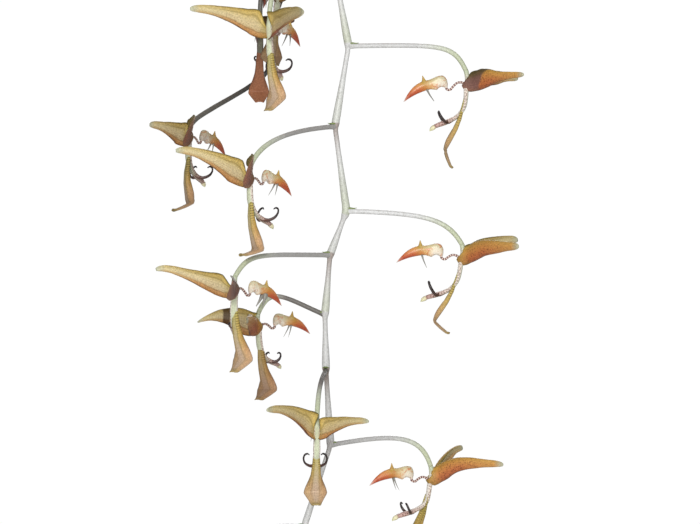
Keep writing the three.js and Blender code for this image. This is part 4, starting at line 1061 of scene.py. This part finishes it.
for leaf in leaves:
    bulb = bulbs[leaf["bulb"]]
    lean = radians(leaf["azimuth"])
    out, side = Vector((cos(lean), sin(lean), 0)), Vector((-sin(lean), cos(lean), 0))
    root = Vector((bulb["x"], bulb["y"], soilTop + bulbShape["lift"] + bulb["height"]))
    stations = [root + up * leafShape["rootUp"] + out * leafShape["rootOut"]]
    for i in range(leafShape["stations"]):
        sag = (i / leafShape["stations"]) ** leafShape["sag"]
        slope = radians(leaf["rise"] + (leaf["droop"] - leaf["rise"]) * sag)
        step = out * cos(slope) + up * sin(slope)
        stations.append(stations[-1] + step * (leaf["length"] / leafShape["stations"]))
    middles = smoothPath(stations, leafShape["rows"])
    rows = []
    for i, (middle, along) in enumerate(zip(middles, directions(middles))):
        s = i / leafShape["rows"]
        over = -side.cross(along)
        broad = max(sin(pi * s ** leafShape["widest"]), 0) ** leafShape["slender"]
        half = max(leafShape["footHalf"] * (1 - s) + leaf["width"] / 2 * broad, leafShape["tipHalf"])
        fold = radians(leafShape["foldRoot"] * (1 - s) ** 4 + leafShape["fold"])
        row = []
        for k in range(leafShape["columns"] + 1):
            v = 2 * k / leafShape["columns"] - 1
            pleat = leafShape["pleatDepth"] * half * cos(v * pi * leafShape["pleats"]) * smooth(0, 0.15, s)
            wave = leafShape["waveDepth"] * half * sin(s * leafShape["waves"] + leaf["azimuth"]) * abs(v) ** 3
            rise = abs(v) * half * sin(fold) + pleat + wave
            row.append(middle + side * (v * half * cos(fold)) + over * rise)
        rows.append(row)
    blade = newPiece()
    addBlade(blade, rows, lambda u, v: leafShape["thickness"] * (1 - 0.5 * v * v), 0,
             lambda u, v, sign: (u, (v + 1) / 2, 1.0 if sign < 0 else 0.0, 0, 0))
    finishPiece(blade, leaf["node"] + "_pleated", leaf["node"], [leafSkin])

print("stage: pot and bark")

pot = {"height": 85, "foot": 36, "neck": 49, "rim": 55, "rimHeight": 17, "wall": 5, "drain": 7, "sides": 128}


# turns a profile of (radius, height) round the upright axis
def addTurned(piece, profile, sides, wrap=False):
    points = []
    for r, z in profile:
        for k in range(sides):
            angle = 2 * pi * k / sides
            points.append(Vector((r * cos(angle), r * sin(angle), z)))
    addPart(piece, points, ringFaces(len(profile), sides, wrap), 0, [(0.5, 0.5, 0.5, 0, 0)] * len(points))


# the pot's outer profile and rim: what is added to one of its own radii, and the height above its foot
neckHeight = pot["height"] - pot["rimHeight"]
potTurns = {
    "drain": [(0, 0.6), (0.6, 0)],
    "foot": [(-2.2, 0), (-0.7, 0.5), (0, 1.8), (4, 22), (8.4, 44)],
    "neck": [(-0.2, neckHeight - 0.8), (0.4, neckHeight)],
    "rim": [(-1.2, neckHeight), (-0.3, neckHeight + 0.6), (-0.1, neckHeight + 2), (0, pot["height"] - 2.4),
            (-0.5, pot["height"] - 0.7), (-1.8, pot["height"]), (-3.4, pot["height"]),
            (-4.9, pot["height"] - 0.8), (-5.5, pot["height"] - 2.4)],
}
potProfile = [(pot[part] + r, z) for part, turns in potTurns.items() for r, z in turns]
potProfile += [(pot["neck"] - pot["wall"], neckHeight - 4), (pot["foot"] - pot["wall"], pot["wall"] + 2),
               (pot["foot"] - pot["wall"] - 2, pot["wall"]), (pot["drain"] + 0.6, pot["wall"]),
               (pot["drain"], pot["wall"] - 0.6)]
potPiece = newPiece()
addTurned(potPiece, [(r, z + potFoot) for r, z in potProfile], pot["sides"], wrap=True)
finishPiece(potPiece, "clay_pot", "pot", [claySkin])

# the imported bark: a plug with a rough top
soilPiece = newPiece()
innerTop = pot["rim"] - 6
soilProfile = [(0.01, potFoot + 5.4), (pot["foot"] - 7.6, potFoot + 5.4), (pot["foot"] - 5.4, potFoot + 7.2),
               (pot["neck"] - 5.4, potFoot + neckHeight - 4), (innerTop - 2.4, soilTop - 1.2),
               (innerTop * 0.84, soilTop), (innerTop * 0.58, soilTop), (innerTop * 0.3, soilTop),
               (0.01, soilTop)]
addTurned(soilPiece, soilProfile, 48)
soil = makeMesh(soilPiece, "bark_plug", [barkSkin])


# a Geometry Nodes tree with inputs of its own: gives the tree, its inputs and their identifiers
def startNodes(name, look):
    tree = bpy.data.node_groups.new(name, "GeometryNodeTree")
    for way in ("INPUT", "OUTPUT"):
        tree.interface.new_socket("Geometry", in_out=way, socket_type="NodeSocketGeometry")
    identifiers = {}
    for socketName, amount in look.items():
        kind = "NodeSocketInt" if isinstance(amount, int) else "NodeSocketFloat"
        socket = tree.interface.new_socket(socketName, in_out="INPUT", socket_type=kind)
        identifiers[socketName] = socket.identifier
    return tree, addNode(tree, "given").node.outputs, identifiers


# chips strewn on the plug by Geometry Nodes; what is measured is in metres
chipLook = {"Density": 24000.0, "Chip Length": 0.0062, "Chip Width": 0.0042, "Chip Thickness": 0.0016,
            "Seed": 11}
chipTree, given, sockets = startNodes("bark chips", chipLook)
facesUp = ("above", ("height", ("normal",)), 0.7)
strewn = addNode(chipTree, "strewn", given["Geometry"], facesUp, given["Density"], given["Seed"])
size = ("vector", given["Chip Length"], given["Chip Width"], given["Chip Thickness"])
lumpy = ("scaled", ("less", ("noiseColor", ("position",), 340.0), (0.5, 0.5, 0.5)), 0.0022)
chip = ("moved", ("block", size, 4, 3, 2), lumpy)
turn = ("anyTurn", (-0.45, -0.45, 0.0), (0.45, 0.45, 6.28), given["Seed"])
grow = ("anySize", 0.55, 1.2, given["Seed"])
whole = addNode(chipTree, "joined", given["Geometry"])
chipTree.links.new(addNode(chipTree, "real", ("placed", strewn, chip, turn, grow)), whole.node.inputs[0])
addNode(chipTree, "result", ("painted", whole, barkSkin))


# turns a Geometry Nodes result into a plain mesh and removes the modifier
def bakeNodes(made, tree, look, identifiers):
    modifier = made.modifiers.new(tree.name, "NODES")
    modifier.node_group = tree
    for socketName, amount in look.items():
        modifier[identifiers[socketName]] = amount
    graph = bpy.context.evaluated_depsgraph_get()
    result = bpy.data.meshes.new_from_object(made.evaluated_get(graph))
    made.modifiers.remove(modifier)
    if made.type == "MESH":
        made.data = result
        return made
    fresh = bpy.data.objects.new(made.name + "_made", result)
    scene.collection.objects.link(fresh)
    bpy.data.objects.remove(made)
    return fresh


settle(bakeNodes(soil, chipTree, chipLook, sockets), "bark_mix")

print("stage: hanger")

hanger = {"wire": 0.9, "azimuths": (90, 210, 330), "circle": 3.1, "ferruleBottom": 257, "ferruleHeight": 14,
          "ferruleRadius": 5.4, "insert": 7, "gap": 0.35}
hook = {"wire": 1.25, "crook": 13, "centre": 300, "from": -62, "turn": 268, "steps": 60}

# a round wire swept along a curve by Geometry Nodes
wireLook = {"Radius": hanger["wire"] * mm, "Sides": 14}
wireTree, given, wireSockets = startNodes("swept wire", wireLook)
swept = ("swept", given["Geometry"], ("circle", given["Sides"], given["Radius"]), True)
addNode(wireTree, "result", ("painted", ("real", ("smoothed", swept)), steelSkin))


def sweepWire(name, node, points, radius):
    curve = bpy.data.curves.new(name, "CURVE")
    curve.dimensions = "3D"
    spline = curve.splines.new("POLY")
    spline.points.add(len(points) - 1)
    for target, point in zip(spline.points, points):
        target.co = (*(point * mm), 1)
    holder = bpy.data.objects.new(name + "_line", curve)
    scene.collection.objects.link(holder)
    made = bakeNodes(holder, wireTree, {**wireLook, "Radius": radius * mm}, wireSockets)
    made.name = name
    settle(made, node)


# a bend of the given radius at each corner of a path
def roundCorners(points, radius, steps=6):
    result = [points[0]]
    for before, corner, after in zip(points, points[1:], points[2:]):
        back, ahead = before - corner, after - corner
        cut = min(radius, back.length * 0.45, ahead.length * 0.45)
        a, b = corner + back.normalized() * cut, corner + ahead.normalized() * cut
        for k in range(steps + 1):
            t = k / steps
            result.append(a * (1 - t) ** 2 + corner * (2 * t * (1 - t)) + b * t * t)
    return result + [points[-1]]


for number, azimuth in enumerate(hanger["azimuths"], 1):
    lean = radians(azimuth)
    reach = pot["rim"] + hanger["wire"] + hanger["gap"]
    under = neckHeight - hanger["wire"] - hanger["gap"]
    stations = [(pot["neck"] + hanger["wire"] + 1, under), (reach, under), (reach, pot["height"] + 2),
                (hanger["circle"] + 0.8, hanger["ferruleBottom"] - 3),
                (hanger["circle"], hanger["ferruleBottom"] + hanger["insert"])]
    points = [Vector((r * cos(lean), r * sin(lean), z + potFoot)) for r, z in stations]
    sweepWire("wire_%d" % number, "hanger_wire_%d" % number, roundCorners(points, 3), hanger["wire"])

low, high = hanger["ferruleBottom"] + potFoot, hanger["ferruleBottom"] + hanger["ferruleHeight"] + potFoot
crookCentre = hook["centre"] + potFoot
hookPoints = [Vector((0, 0, high - 8)), Vector((0, 0, crookCentre - hook["crook"] - 6))]
for i in range(hook["steps"] + 1):
    angle = radians(hook["from"] + hook["turn"] * i / hook["steps"])
    hookPoints.append(Vector((hook["crook"] * cos(angle), 0, crookCentre + hook["crook"] * sin(angle))))
straight = hookPoints[:1] + smoothPath(hookPoints[1:6], 14) + hookPoints[6:]
sweepWire("hook", "hanger_hook", straight, hook["wire"])

# the ferrule's profile: how far it lies within its radius, and the height above its lower end
ferrule = newPiece()
ferruleTurns = [(0.6, 0), (0, 0.6), (0, 3.4), (0.7, 4.2), (0.7, 5.4), (0, 6.2), (0, 8), (0.7, 8.8), (0.7, 10),
                (0, 10.8), (0, hanger["ferruleHeight"] - 0.6), (0.6, hanger["ferruleHeight"])]
ferruleProfile = [(hanger["ferruleRadius"] - less, low + rise) for less, rise in ferruleTurns]
addTurned(ferrule, [(0.01, low)] + ferruleProfile + [(0.01, high)], 48)
finishPiece(ferrule, "crimped_ferrule", "hanger_ferrule", [steelSkin])

print("stage: finish")
